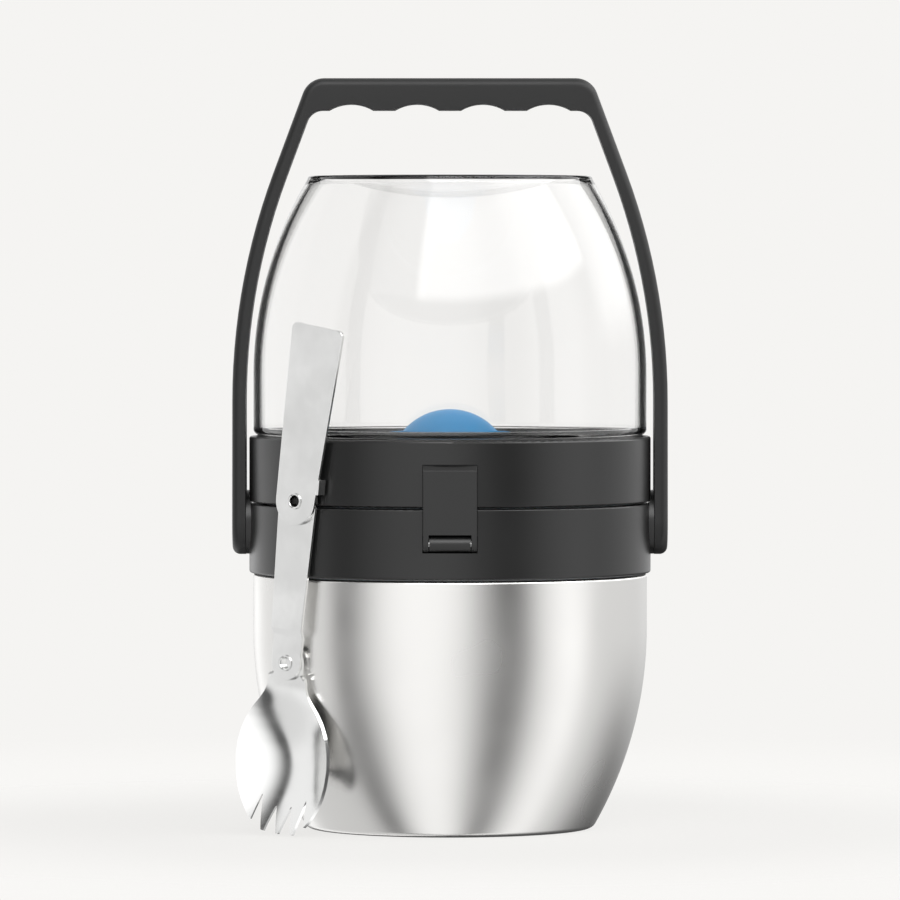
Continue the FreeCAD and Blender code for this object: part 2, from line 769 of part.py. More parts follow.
def make_spork_bowl():
    """Dished bowl with five tines and a flat neck. The dish is an arc across, carried round
    a longer arc, so that its rim is level."""
    across = (spoon_half_width ** 2 + spoon_depth ** 2) / (2 * spoon_depth)
    along = (spoon_half_length ** 2 + spoon_depth ** 2) / (2 * spoon_depth)
    spread = math.degrees(math.asin((spoon_half_width + 2) / across))
    rim = plate_thickness
    deepest = rim - spoon_depth
    outer = across + spoon_wall
    points = []
    for radius in (across, outer):
        for angle in (-spread, 0, spread):
            a = math.radians(angle)
            points.append(
                Vector(radius * math.sin(a), -(deepest + across) + radius * math.cos(a), 0)
            )
    edges = [
        Part.Arc(*points[:3]).toShape(),
        Part.LineSegment(points[2], points[5]).toShape(),
        Part.Arc(points[5], points[4], points[3]).toShape(),
        Part.LineSegment(points[3], points[0]).toShape(),
    ]
    crescent = Part.Face(Part.Wire(edges))
    sweep = math.degrees(math.asin(spoon_half_length / along)) + 5
    axis = Vector(0, -(deepest + along), 0)
    crescent.rotate(axis, X_AXIS, -sweep)
    dish = crescent.revolve(axis, X_AXIS, 2 * sweep)
    dish = dish.cut(block((-40, -60, -60), (40, -rim, 60)))
    dish.translate(Vector(0, 0, -spoon_centre))

    neck = Outline(neck_half_width, 0)
    neck.arc(0, 0, neck_half_width, 90, 180)
    neck.line(-neck_half_width, -neck_end / 2).line(-neck_flare, -neck_end)
    neck.line(neck_flare, -neck_end).line(neck_half_width, -neck_end / 2)
    piece = dish.fuse(at_depth(neck, 0, rim))
    for side in (1, -1):
        for start, inner in ((middle_notch_start, 0), (outer_notch_start, 1)):
            piece = piece.cut(tine_notch(side, start, inner))
    piece = piece.cut(hole_through(eyelet_radius, 0))
    return set_in_place(piece.removeSplitter(), bowl_tilt, lower_hole_u, lower_hole_z)


def tine_notch(side, start, inner):
    """The gap between tine number inner, counted from the middle, and the next one out."""
    middle = (inner + 0.5) * tine_spacing
    half = tine_spacing / 2 - tine_tip_half_width
    tips = spoon_centre + spoon_half_length
    notch = Outline(side * (middle - notch_radius), -start)
    notch.line(side * (middle - half), -tips).line(side * (middle - half), -tips - 5)
    notch.line(side * (middle + half), -tips - 5).line(side * (middle + half), -tips)
    notch.line(side * (middle + notch_radius), -start)
    cut = notch.extruded(-20, 20)
    return cut.fuse(rod(notch_radius, Vector(side * middle, -20, -start), Y_AXIS, 40))


def make_spork_link():
    """Link with a joggle at its lower end and a stop tab turned up beside the handle."""
    lower, upper, _ = link_planes()
    thick = plate_thickness
    front = turned_hull(link_lower_radius, link_upper_radius, link_length).extruded(-20, 20)
    low_z, high_z = -link_lower_radius - 1, link_length + link_upper_radius + 1
    step_end = joggle_start + joggle_length
    points = [
        Vector(0, -y, z) for y, z in (
            (lower, low_z), (lower, joggle_start), (upper, step_end), (upper, high_z),
            (upper + thick, high_z), (upper + thick, step_end), (lower + thick, joggle_start),
            (lower + thick, low_z), (lower, low_z),
        )
    ]
    side = Part.Face(Part.makePolygon(points))
    side.translate(Vector(-20, 0, 0))
    piece = front.common(side.extrude(Vector(40, 0, 0)))
    stop_low = link_length + stop_start
    reach = stop_offset + plate_thickness - 0.2
    foot = block((2, -upper - thick, stop_low), (reach, -upper, stop_low + stop_height))
    tab = block((stop_offset, -upper - stop_depth, stop_low), (reach, -upper, stop_low + stop_height))
    piece = piece.fuse(foot).fuse(tab)
    piece = piece.cut(hole_through(eyelet_radius + plate_gap, 0))
    piece = piece.cut(hole_through(eyelet_radius, link_length))
    return set_in_place(piece.removeSplitter(), link_tilt, lower_hole_u, lower_hole_z)


def make_spork_handle():
    """Blade with a round end at the rivet, widening to a blunt end with small corners."""
    _, _, back = link_planes()
    rise = handle_reach - handle_corner
    lean = math.degrees(math.asin((handle_half_width - handle_round) / rise))
    right, left = math.radians(-lean), math.radians(180 + lean)
    outline = Outline(handle_round * math.cos(right), handle_round * math.sin(right))
    outline.line(handle_half_width, rise)
    outline.arc(handle_half_width - handle_corner, rise, handle_corner, 45, 90)
    outline.line(-handle_half_width + handle_corner, handle_reach)
    outline.arc(-handle_half_width + handle_corner, rise, handle_corner, 135, 180)
    outline.line(handle_round * math.cos(left), handle_round * math.sin(left))
    outline.arc(0, 0, handle_round, 270, 360 - lean)
    piece = at_depth(outline, back, back + plate_thickness)
    piece = piece.cut(hole_through(eyelet_radius + plate_gap, 0))
    return set_in_place(piece, handle_tilt, *upper_rivet_place())


def eyelet(back, front, u, z):
    """A hollow rivet with a flange on each face of the two plates that it joins."""
    flange = eyelet_flange_thickness
    body = at_depth_disc(eyelet_radius, back - flange, front + flange)
    body = body.fuse(at_depth_disc(eyelet_flange, back - flange, back))
    body = body.fuse(at_depth_disc(eyelet_flange, front, front + flange))
    body = body.cut(hole_through(eyelet_bore, 0))
    return set_in_place(body.removeSplitter(), 0, u, z)


def at_depth_disc(radius, back, front):
    return rod(radius, Vector(0, -back, 0), Y_AXIS, back - front)


def make_lower_rivet():
    lower, _, _ = link_planes()
    return eyelet(0, lower + plate_thickness + plate_gap, lower_hole_u, lower_hole_z)


def make_upper_rivet():
    _, upper, handle = link_planes()
    return eyelet(upper, handle + plate_thickness + plate_gap, *upper_rivet_place())


PIECES = {
    "outer_shell": make_outer_shell,
    "inner_liner": make_inner_liner,
    "base_disc": make_base_disc,
    "vacuum_plug": make_vacuum_plug,
    "collar": make_collar,
    "collar_seal": make_collar_seal,
    "hinge_pin": make_hinge_pin,
    "latch_pin": make_latch_pin,
    "bail_pins": make_bail_pins,
    "lid_ring": make_lid_ring,
    "inner_lid": make_inner_lid,
    "lid_gasket": make_lid_gasket,
    "bowl_gasket": make_bowl_gasket,
    "vent_button": make_vent_button,
    "vent_valve": make_vent_valve,
    "vent_seal": make_vent_seal,
    "clear_bowl": make_clear_bowl,
    "bail_handle": make_bail_handle,
    "bail_caps": make_bail_caps,
    "latch_flap": make_latch_flap,
    "spork_bowl": make_spork_bowl,
    "spork_link": make_spork_link,
    "spork_handle": make_spork_handle,
    "spork_lower_rivet": make_lower_rivet,
    "spork_upper_rivet": make_upper_rivet,
}

os.makedirs("parts", exist_ok=True)
for name, make in PIECES.items():
    solid = make()
    if not solid.isValid():
        print("not valid:", name)
    print(f"{name}: {len(solid.Solids)} solid(s), {solid.Volume:.0f} mm3")
    solid.exportStep(f"parts/{name}.step")
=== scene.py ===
"""Looks of an insulated food jar: spun steel bowl, black moulded rings and bail, a clear bowl
upside down in the lid and a folding steel spork that leans on the front.

Every length in the classes is in millimetres. The meshes are made in metres, in the frame of
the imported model.
"""

import json
import logging
import math
from dataclasses import dataclass, field
from enum import Enum
from typing import Any

import bmesh
import bpy
import numpy as np
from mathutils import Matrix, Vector


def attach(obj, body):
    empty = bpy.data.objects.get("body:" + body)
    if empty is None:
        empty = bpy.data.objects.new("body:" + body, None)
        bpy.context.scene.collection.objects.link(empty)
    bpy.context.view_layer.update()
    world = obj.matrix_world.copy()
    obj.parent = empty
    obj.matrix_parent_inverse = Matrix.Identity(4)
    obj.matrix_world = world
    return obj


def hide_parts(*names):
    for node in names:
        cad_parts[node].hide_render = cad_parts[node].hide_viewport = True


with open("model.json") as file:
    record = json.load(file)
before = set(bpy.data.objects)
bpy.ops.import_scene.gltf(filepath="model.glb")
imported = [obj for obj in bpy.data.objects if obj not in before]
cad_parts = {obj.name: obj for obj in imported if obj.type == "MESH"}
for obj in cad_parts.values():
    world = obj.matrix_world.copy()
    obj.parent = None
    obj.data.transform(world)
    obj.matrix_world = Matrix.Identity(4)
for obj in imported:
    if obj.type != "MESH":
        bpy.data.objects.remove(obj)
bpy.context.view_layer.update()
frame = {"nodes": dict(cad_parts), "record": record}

log = logging.getLogger("food_jar")
MM = 0.001
LATHE_STEPS = 288
ARC_RUN_MM = 2.0            # the longest straight step of an arc
REPEAT_MM = 1e-4            # outline points nearer than this are one point
ON_AXIS_MM = 1e-6
WELD_M = 1e-7               # mesh points nearer than this are one point
SHEET_WELD_M = 1e-6
SLIVER_M = 1e-8
TURNED = [0, 3, 2, 1]       # a face's corners the other way round
NOISE_LOW, NOISE_HIGH = 0.3, 0.7    # a noise texture seldom leaves this range


class Slot(Enum):
    """The record's material slots."""

    SHELL = "brushed_steel_shell"
    LINER = "steel_liner"
    PIN = "steel_pin"
    SPORK = "spork_steel"
    RIVET = "rivet_steel"
    RING = "black_ring"
    LID = "black_lid"
    BAIL = "black_bail"
    LATCH = "black_latch"
    SEAL = "grey_seal"
    VENT = "blue_silicone"
    CLEAR = "clear_plastic"


# Colour and node helpers


def linear(hex_colour: str) -> tuple[float, float, float, float]:
    """Turns an sRGB hex colour into linear light.

    Args:
        hex_colour: six hex digits, with or without a leading hash sign.

    Returns:
        Red, green, blue and an alpha of 1.
    """
    digits = hex_colour.lstrip("#")
    channels = [int(digits[i:i + 2], 16) / 255 for i in (0, 2, 4)]
    red, green, blue = (
        c / 12.92 if c <= 0.04045 else ((c + 0.055) / 1.055) ** 2.4 for c in channels
    )
    return red, green, blue, 1.0


def add(tree: bpy.types.NodeTree, kind: str, links: dict[Any, Any] | None = None,
        **settings: Any) -> bpy.types.Node:
    """Adds a node to a tree, sets it and links what feeds it.

    Args:
        tree: the tree that the node goes in.
        kind: the node's type name.
        links: socket name or number to an output socket, or to a plain value.
        **settings: the node's own attributes.

    Returns:
        The new node.
    """
    made = tree.nodes.new(kind)
    for key, value in settings.items():
        setattr(made, key, value)
    for key, value in (links or {}).items():
        socket = made.inputs[key]
        if isinstance(value, bpy.types.NodeSocket):
            tree.links.new(value, socket)
        else:
            socket.default_value = value
    return made


def new_material(name: str) -> tuple[bpy.types.Material, bpy.types.NodeTree]:
    """Makes an empty node material.

    Args:
        name: the material's name.

    Returns:
        The material and its empty node tree.
    """
    material = bpy.data.materials.new(name)
    material.use_nodes = True
    material.node_tree.nodes.clear()
    return material, material.node_tree


def close_tree(tree: bpy.types.NodeTree, surface: bpy.types.NodeSocket) -> None:
    """Joins a shader to the tree's output."""
    add(tree, "ShaderNodeOutputMaterial", {"Surface": surface})


def pattern_scale(size_mm: float) -> float:
    """The scale at which a pattern's marks have a real size in millimetres."""
    return 1.0 / MM / size_mm


# Finishes


@dataclass(frozen=True)
class Finish:
    """A surface's colour, and its roughness with patches that are glossier or duller."""

    colour: str
    roughness: float
    glossier: float = 0.03
    duller: float = 0.04

    def patches(self) -> dict[str, float]:
        """The range of roughness that a noise turns to, duller where the noise is high."""
        return {
            "From Min": NOISE_LOW, "From Max": NOISE_HIGH,
            "To Min": self.roughness - self.glossier, "To Max": self.roughness + self.duller}

    def material(self, name: str) -> bpy.types.Material:
        """Builds the material; each kind of finish has its own way."""
        raise NotImplementedError(name)


@dataclass(frozen=True)
class SpunSteel(Finish):
    """Stainless steel 18/8 spun on a lathe, then satin polished.

    The polishing runs round the bowl, so highlights are sharp from side to side and
    stretched up and down, and fine rings show at a grazing look.
    """

    colour: str = "#D4D3D1"
    roughness: float = 0.24
    anisotropy: float = 0.55
    ring_mm: float = 0.7        # real rings are about 0.1 mm; drawn coarser so that they show
    ring_depth_mm: float = 0.008
    ring_run_mm: float = 33.333     # how far round a ring stays the same
    cloud_mm: float = 35.714    # patches that are a little duller or glossier

    def material(self, name: str) -> bpy.types.Material:
        """Builds the material.

        Args:
            name: the material's name.

        Returns:
            The material.
        """
        made, tree = new_material(name)
        place = add(tree, "ShaderNodeTexCoord").outputs["Object"]
        along = pattern_scale(self.ring_run_mm)
        rings = add(tree, "ShaderNodeMapping", {
            "Vector": place, "Scale": (along, along, pattern_scale(self.ring_mm))})
        fine = add(tree, "ShaderNodeTexNoise", {
            "Vector": rings.outputs[0], "Scale": 1.0, "Detail": 3.0, "Roughness": 0.6})
        cloud = add(tree, "ShaderNodeTexNoise", {
            "Vector": place, "Scale": pattern_scale(self.cloud_mm), "Detail": 2.0})
        gloss = add(tree, "ShaderNodeMapRange", {
            "Value": cloud.outputs["Fac"], **self.patches()})
        bump = add(tree, "ShaderNodeBump", {
            "Height": fine.outputs["Fac"], "Strength": 0.35,
            "Distance": self.ring_depth_mm * MM})
        tangent = add(tree, "ShaderNodeTangent", direction_type="RADIAL", axis="Z")
        shader = add(tree, "ShaderNodeBsdfPrincipled", {
            "Base Color": linear(self.colour), "Metallic": 1.0,
            "Roughness": gloss.outputs[0], "Anisotropic": self.anisotropy,
            "Tangent": tangent.outputs[0], "Normal": bump.outputs[0]})
        close_tree(tree, shader.outputs[0])
        return made


@dataclass(frozen=True)
class PressedSteel(Finish):
    """Stainless sheet stamped and tumbled: bright, with a very light pebble and soft edges."""

    colour: str = "#E2E2E1"
    roughness: float = 0.17
    pebble_mm: float = 0.8
    pebble_depth_mm: float = 0.004
    handling_mm: float = 16.667     # patches that handling has dulled
    glossier: float = 0.05
    duller: float = 0.06

    def material(self, name: str) -> bpy.types.Material:
        """Builds the material.

        Args:
            name: the material's name.

        Returns:
            The material.
        """
        made, tree = new_material(name)
        place = add(tree, "ShaderNodeTexCoord").outputs["Object"]
        pebble = add(tree, "ShaderNodeTexNoise", {
            "Vector": place, "Scale": pattern_scale(self.pebble_mm), "Detail": 2.0})
        handling = add(tree, "ShaderNodeTexNoise", {
            "Vector": place, "Scale": pattern_scale(self.handling_mm), "Detail": 4.0,
            "Roughness": 0.65})
        gloss = add(tree, "ShaderNodeMapRange", {
            "Value": handling.outputs["Fac"], **self.patches()})
        bump = add(tree, "ShaderNodeBump", {
            "Height": pebble.outputs["Fac"], "Strength": 0.3,
            "Distance": self.pebble_depth_mm * MM})
        shader = add(tree, "ShaderNodeBsdfPrincipled", {
            "Base Color": linear(self.colour), "Metallic": 1.0,
            "Roughness": gloss.outputs[0], "Normal": bump.outputs[0]})
        close_tree(tree, shader.outputs[0])
        return made


@dataclass(frozen=True)
class MouldedPlastic(Finish):
    """Injection moulded polypropylene with a spark-eroded grain, as handles and rings have."""

    colour: str = "#242424"
    roughness: float = 0.42
    grain_mm: float = 0.45      # the real grain is near 0.1 mm; drawn coarser so that it shows
    grain_depth_mm: float = 0.012
    ior: float = 1.49
    shine: float = 0.5
    flow_mm: float = 45.455     # flow marks: broad patches, a little lighter and duller
    flow_lift: float = 1.22
    duller: float = 0.05

    def material(self, name: str) -> bpy.types.Material:
        """Builds the material.

        Args:
            name: the material's name.

        Returns:
            The material.
        """
        made, tree = new_material(name)
        place = add(tree, "ShaderNodeTexCoord").outputs["Object"]
        grain = add(tree, "ShaderNodeTexNoise", {
            "Vector": place, "Scale": pattern_scale(self.grain_mm), "Detail": 3.0,
            "Roughness": 0.55})
        flow = add(tree, "ShaderNodeTexNoise", {
            "Vector": place, "Scale": pattern_scale(self.flow_mm), "Detail": 3.0})
        tone = linear(self.colour)
        lighter = tuple(min(1.0, c * self.flow_lift) for c in tone[:3]) + (1.0,)
        shade = add(tree, "ShaderNodeMix", {
            "Factor": flow.outputs["Fac"], "A": tone, "B": lighter}, data_type="RGBA")
        gloss = add(tree, "ShaderNodeMapRange", {
            "Value": flow.outputs["Fac"], **self.patches()})
        bump = add(tree, "ShaderNodeBump", {
            "Height": grain.outputs["Fac"], "Strength": 0.4,
            "Distance": self.grain_depth_mm * MM})
        shader = add(tree, "ShaderNodeBsdfPrincipled", {
            "Base Color": shade.outputs["Result"], "Roughness": gloss.outputs[0],
            "IOR": self.ior, "Specular IOR Level": self.shine, "Normal": bump.outputs[0]})
        close_tree(tree, shader.outputs[0])
        return made


@dataclass(frozen=True)
class Silicone(Finish):
    """Cured silicone rubber: light soaks in a little, and the skin has a low, broad sheen."""

    colour: str = "#006A9A"
    roughness: float = 0.38
    ior: float = 1.41
    shine: float = 0.2
    soak_mm: float = 1.2
    soak_share: float = 0.12
    skin_mm: float = 0.9
    skin_depth_mm: float = 0.01

    def material(self, name: str) -> bpy.types.Material:
        """Builds the material.

        Args:
            name: the material's name.

        Returns:
            The material.
        """
        made, tree = new_material(name)
        place = add(tree, "ShaderNodeTexCoord").outputs["Object"]
        skin = add(tree, "ShaderNodeTexNoise", {
            "Vector": place, "Scale": pattern_scale(self.skin_mm), "Detail": 2.0})
        bump = add(tree, "ShaderNodeBump", {
            "Height": skin.outputs["Fac"], "Strength": 0.25,
            "Distance": self.skin_depth_mm * MM})
        gloss = add(tree, "ShaderNodeMapRange", {
            "Value": skin.outputs["Fac"], **self.patches()})
        shader = add(tree, "ShaderNodeBsdfPrincipled", {
            "Base Color": linear(self.colour), "Roughness": gloss.outputs[0],
            "Subsurface Weight": self.soak_share, "Subsurface Scale": self.soak_mm * MM,
            "IOR": self.ior, "Specular IOR Level": self.shine, "Normal": bump.outputs[0]})
        close_tree(tree, shader.outputs[0])
        return made


@dataclass(frozen=True)
class ClearPlastic(Finish):
    """Clear moulded copolyester: glass-like, with patches that the mould's polish left duller."""

    colour: str = "#FDFDFD"
    roughness: float = 0.004
    glossier: float = 0.004
    duller: float = 0.004
    ior: float = 1.49
    patch_mm: float = 14.0
    shadow_tint: str = "#F6F7F7"

    def material(self, name: str) -> bpy.types.Material:
        """Builds the material. Shadow rays pass it, so that what is inside is lit.

        Args:
            name: the material's name.

        Returns:
            The material.
        """
        made, tree = new_material(name)
        place = add(tree, "ShaderNodeTexCoord").outputs["Object"]
        patch = add(tree, "ShaderNodeTexNoise", {
            "Vector": place, "Scale": pattern_scale(self.patch_mm), "Detail": 1.0})
        gloss = add(tree, "ShaderNodeMapRange", {
            "Value": patch.outputs["Fac"], **self.patches()})
        shader = add(tree, "ShaderNodeBsdfPrincipled", {
            "Base Color": linear(self.colour), "Roughness": gloss.outputs[0],
            "IOR": self.ior, "Transmission Weight": 1.0})
        clear = add(tree, "ShaderNodeBsdfTransparent", {"Color": linear(self.shadow_tint)})
        ray = add(tree, "ShaderNodeLightPath")
        mixed = add(tree, "ShaderNodeMixShader", {
            0: ray.outputs["Is Shadow Ray"], 1: shader.outputs[0], 2: clear.outputs[0]})
        close_tree(tree, mixed.outputs[0])
        return made


FINISHES: dict[Slot, Finish] = {
    Slot.SHELL: SpunSteel(),
    Slot.LINER: SpunSteel(colour="#CFCECC", roughness=0.3),
    Slot.PIN: PressedSteel(colour="#C4C4C3", roughness=0.26),
    Slot.SPORK: PressedSteel(),
    Slot.RIVET: PressedSteel(colour="#DADAD9", roughness=0.14),
    Slot.RING: MouldedPlastic(colour="#111111", roughness=0.32, shine=0.42),
    Slot.LID: MouldedPlastic(colour="#141414", roughness=0.4, shine=0.42),
    Slot.BAIL: MouldedPlastic(colour="#121212", roughness=0.45, shine=0.36),
    Slot.LATCH: MouldedPlastic(colour="#121212", roughness=0.4, shine=0.42),
    Slot.SEAL: Silicone(colour="#8E9296", roughness=0.5),
    Slot.VENT: Silicone(),
    Slot.CLEAR: ClearPlastic(),
}


# Shapes


class Profile:
    """A closed outline in the plane of radius and height, sampled as points in millimetres."""

    def __init__(self, radius: float, height: float, arc_step_deg: float = 3.0) -> None:
        """Starts the outline.

        Args:
            radius: distance of the first point from the axis.
            height: height of the first point.
            arc_step_deg: the largest turn between two points of an arc.
        """
        self.runs: list[np.ndarray] = [np.array([[radius, height]])]
        self.arc_step = math.radians(arc_step_deg)

    def line(self, radius: float, height: float) -> "Profile":
        """Adds a straight run to a point."""
        self.runs.append(np.array([[radius, height]]))
        return self

    def arc(self, radius: float, height: float, reach: float, start_deg: float,
            end_deg: float) -> "Profile":
        """Adds an arc: points at a constant reach from a centre, evenly turned.

        Args:
            radius: the centre's distance from the axis.
            height: the centre's height.
            reach: the arc's own radius.
            start_deg: where it starts, from the outward direction towards up.
            end_deg: where it ends.

        Returns:
            The profile, for the next run.
        """
        start, end = math.radians(start_deg), math.radians(end_deg)
        length_steps = reach * abs(end - start) / ARC_RUN_MM
        steps = max(4, math.ceil(max(abs(end - start) / self.arc_step, length_steps)))
        turn = np.linspace(start, end, steps + 1)
        self.runs.append(np.column_stack(
            [radius + reach * np.cos(turn), height + reach * np.sin(turn)]))
        return self

    def points(self) -> np.ndarray:
        """All the points in order, in millimetres, with repeated ones dropped."""
        whole = np.vstack(self.runs)
        gap = np.linalg.norm(np.diff(whole, axis=0, append=whole[:1]), axis=1)
        return whole[gap > REPEAT_MM]


def linked(name: str, data: Any) -> bpy.types.Object:
    """Makes an object from its data and links it to the scene."""
    made = bpy.data.objects.new(name, data)
    bpy.context.scene.collection.objects.link(made)
    return made


def smooth_object(name: str, mesh: bpy.types.Mesh,
                  crease_deg: float | None = None) -> bpy.types.Object:
    """Makes an object of a mesh that shades smoothly.

    Args:
        name: the object's name.
        mesh: its mesh.
        crease_deg: edges sharper than this stay sharp; without it none is marked.

    Returns:
        The object, linked to the scene.
    """
    mesh.polygons.foreach_set("use_smooth", np.ones(len(mesh.polygons), dtype=bool))
    if crease_deg is not None:
        mesh.set_sharp_from_angle(angle=math.radians(crease_deg))
    return linked(name, mesh)


def mesh_object(name: str, points: np.ndarray, faces: np.ndarray,
                crease_deg: float = 30.0) -> bpy.types.Object:
    """Turns arrays into an object whose faces point outwards and shade smoothly.

    Args:
        name: the object's name.
        points: n by 3, in millimetres.
        faces: m by 4 indices.
        crease_deg: edges sharper than this stay sharp.

    Returns:
        The object, linked to the scene.
    """
    mesh = bpy.data.meshes.new(name)
    mesh.from_pydata((points * MM).tolist(), [], faces.tolist())
    soft = bmesh.new()
    soft.from_mesh(mesh)
    bmesh.ops.remove_doubles(soft, verts=soft.verts, dist=WELD_M)
    bmesh.ops.dissolve_degenerate(soft, edges=soft.edges, dist=SLIVER_M)
    bmesh.ops.recalc_face_normals(soft, faces=soft.faces)
    soft.to_mesh(mesh)
    soft.free()
    return smooth_object(name, mesh, crease_deg)


def grid_faces(rows: int, columns: int, round_rows: bool = False,
               round_columns: bool = True) -> np.ndarray:
    """The faces of a grid of points that are numbered row by row.

    Each face joins a point, its neighbour in the row and the two points that lie beside
    these in the next row. Where a direction is round, its last points join its first.

    Args:
        rows: how many rows there are.
        columns: how many points a row has.
        round_rows: whether the last row joins the first.
        round_columns: whether each row's last point joins its first.

    Returns:
        m by 4 indices.
    """
    row, column = np.meshgrid(
        np.arange(rows if round_rows else rows - 1),
        np.arange(columns if round_columns else columns - 1), indexing="ij")
    here, beyond = row * columns, (row + 1) % rows * columns
    across = (column + 1) % columns
    return np.stack([
        here + column, here + across, beyond + across, beyond + column,
    ], axis=-1).reshape(-1, 4)


def lathe(outline: np.ndarray, steps: int = LATHE_STEPS) -> tuple[np.ndarray, np.ndarray]:
    """Turns a closed outline about Z.

    The point at outline place i and turn j is (r cos t, r sin t, z), with r and z from the
    outline and t = 2 pi j / steps. Faces join neighbours in both
    directions, and those that have shrunk onto the axis are left out.

    Args:
        outline: n by 2, radius and height.
        steps: divisions round the axis.

    Returns:
        Points, n * steps by 3, and faces, as many by 4.
    """
    turn = np.linspace(0, 2 * np.pi, steps, endpoint=False)
    radius, height = outline[:, :1], outline[:, 1:]
    points = np.stack([
        radius * np.cos(turn), radius * np.sin(turn), np.broadcast_to(height, (len(outline), steps)),
    ], axis=-1).reshape(-1, 3)
    faces = grid_faces(len(outline), steps, round_rows=True)
    on_axis = (outline[:, 0] < ON_AXIS_MM)[faces // steps]
    return points, faces[~(on_axis[:, 0] & on_axis[:, 3])]


def ring_sector(inner: float, outer: float, low: float, high: float, middle_deg: float,
                width_deg: float, steps: int = 12) -> tuple[np.ndarray, np.ndarray]:
    """A closed piece of a ring: a rectangle carried along an arc, with a lid on each end.

    Args:
        inner: inner radius.
        outer: outer radius.
        low: bottom height.
        high: top height.
        middle_deg: direction of its middle.
        width_deg: how wide it is.
        steps: divisions along the arc.

    Returns:
        Points and faces.
    """
    turn = np.radians(middle_deg + np.linspace(-0.5, 0.5, steps + 1) * width_deg)[:, None]
    radius = np.array([inner, outer, outer, inner])[None, :]
    height = np.broadcast_to(np.array([low, low, high, high]), (steps + 1, 4))
    points = np.stack([radius * np.cos(turn), radius * np.sin(turn), height], axis=-1)
    ends = np.array([[0, 1, 2, 3], [4 * steps + 3, 4 * steps + 2, 4 * steps + 1, 4 * steps]])
    return points.reshape(-1, 3), np.vstack([grid_faces(steps + 1, 4), ends])


def joined(*parts: tuple[np.ndarray, np.ndarray]) -> tuple[np.ndarray, np.ndarray]:
    """Puts several sets of points and faces into one."""
    points, faces, start = [], [], 0
    for some_points, some_faces in parts:
        points.append(some_points)
        faces.append(some_faces + start)
        start += len(some_points)
    return np.vstack(points), np.vstack(faces)


def wall_corner(upright: float, arc: float, height: float, floor: float,
                fillet: float) -> tuple[float, float, float]:
    """The fillet between a curved wall and a level floor.

    Args:
        upright: the wall's radius where it is upright.
        arc: radius of its curve.
        height: where the curve ends and the upright starts.
        floor: the floor's height.
        fillet: the fillet's radius.

    Returns:
        The centre's radius and height, and the angle in degrees where it meets the wall.
    """
    reach, drop = arc - fillet, height - floor - fillet
    centre = upright - arc + math.sqrt(reach ** 2 - drop ** 2)
    return centre, floor + fillet, -math.degrees(math.asin(drop / reach))


# Sub-assemblies


@dataclass
class SubAssembly:
    """One group of pieces, each made, dressed and set on its CAD body."""

    made: list[bpy.types.Object] = field(default_factory=list)

    def keep(self, piece: bpy.types.Object, body: str, slot: Slot,
             node: str | None = None) -> None:
        """Dresses a piece and sets it on its body.

        Args:
            piece: the new object.
            body: the CAD body that it rides on.
            slot: the record's material slot.
            node: the CAD node that it stands for, if it stands for one.
        """
        piece.data.materials.clear()
        piece.data.materials.append(Wardrobe.material(slot))
        if node:
            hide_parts(node)
        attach(piece, body)
        self.made.append(piece)


def node_slots() -> dict[str, Slot]:
    """The slot of every CAD node, as the record has it."""
    return {s["node"]: Slot(s["material_slot"]) for s in frame["record"]["subparts"]}


class Wardrobe:
    """Makes each finish once and hands it out by its slot."""

    made: dict[Slot, bpy.types.Material] = {}

    @classmethod
    def material(cls, slot: Slot) -> bpy.types.Material:
        """Gives a slot's material, made at its first use."""
        if slot not in cls.made:
            cls.made[slot] = FINISHES[slot].material(slot.value)
        return cls.made[slot]

    @classmethod
    def dress_nodes(cls) -> None:
        """Gives every CAD node that is shown the finish of its slot."""
        slots = node_slots()
        for name, node in frame["nodes"].items():
            for place in node.material_slots:
                place.material = cls.material(slots[name])
            if not node.material_slots:
                node.data.materials.append(cls.material(slots[name]))


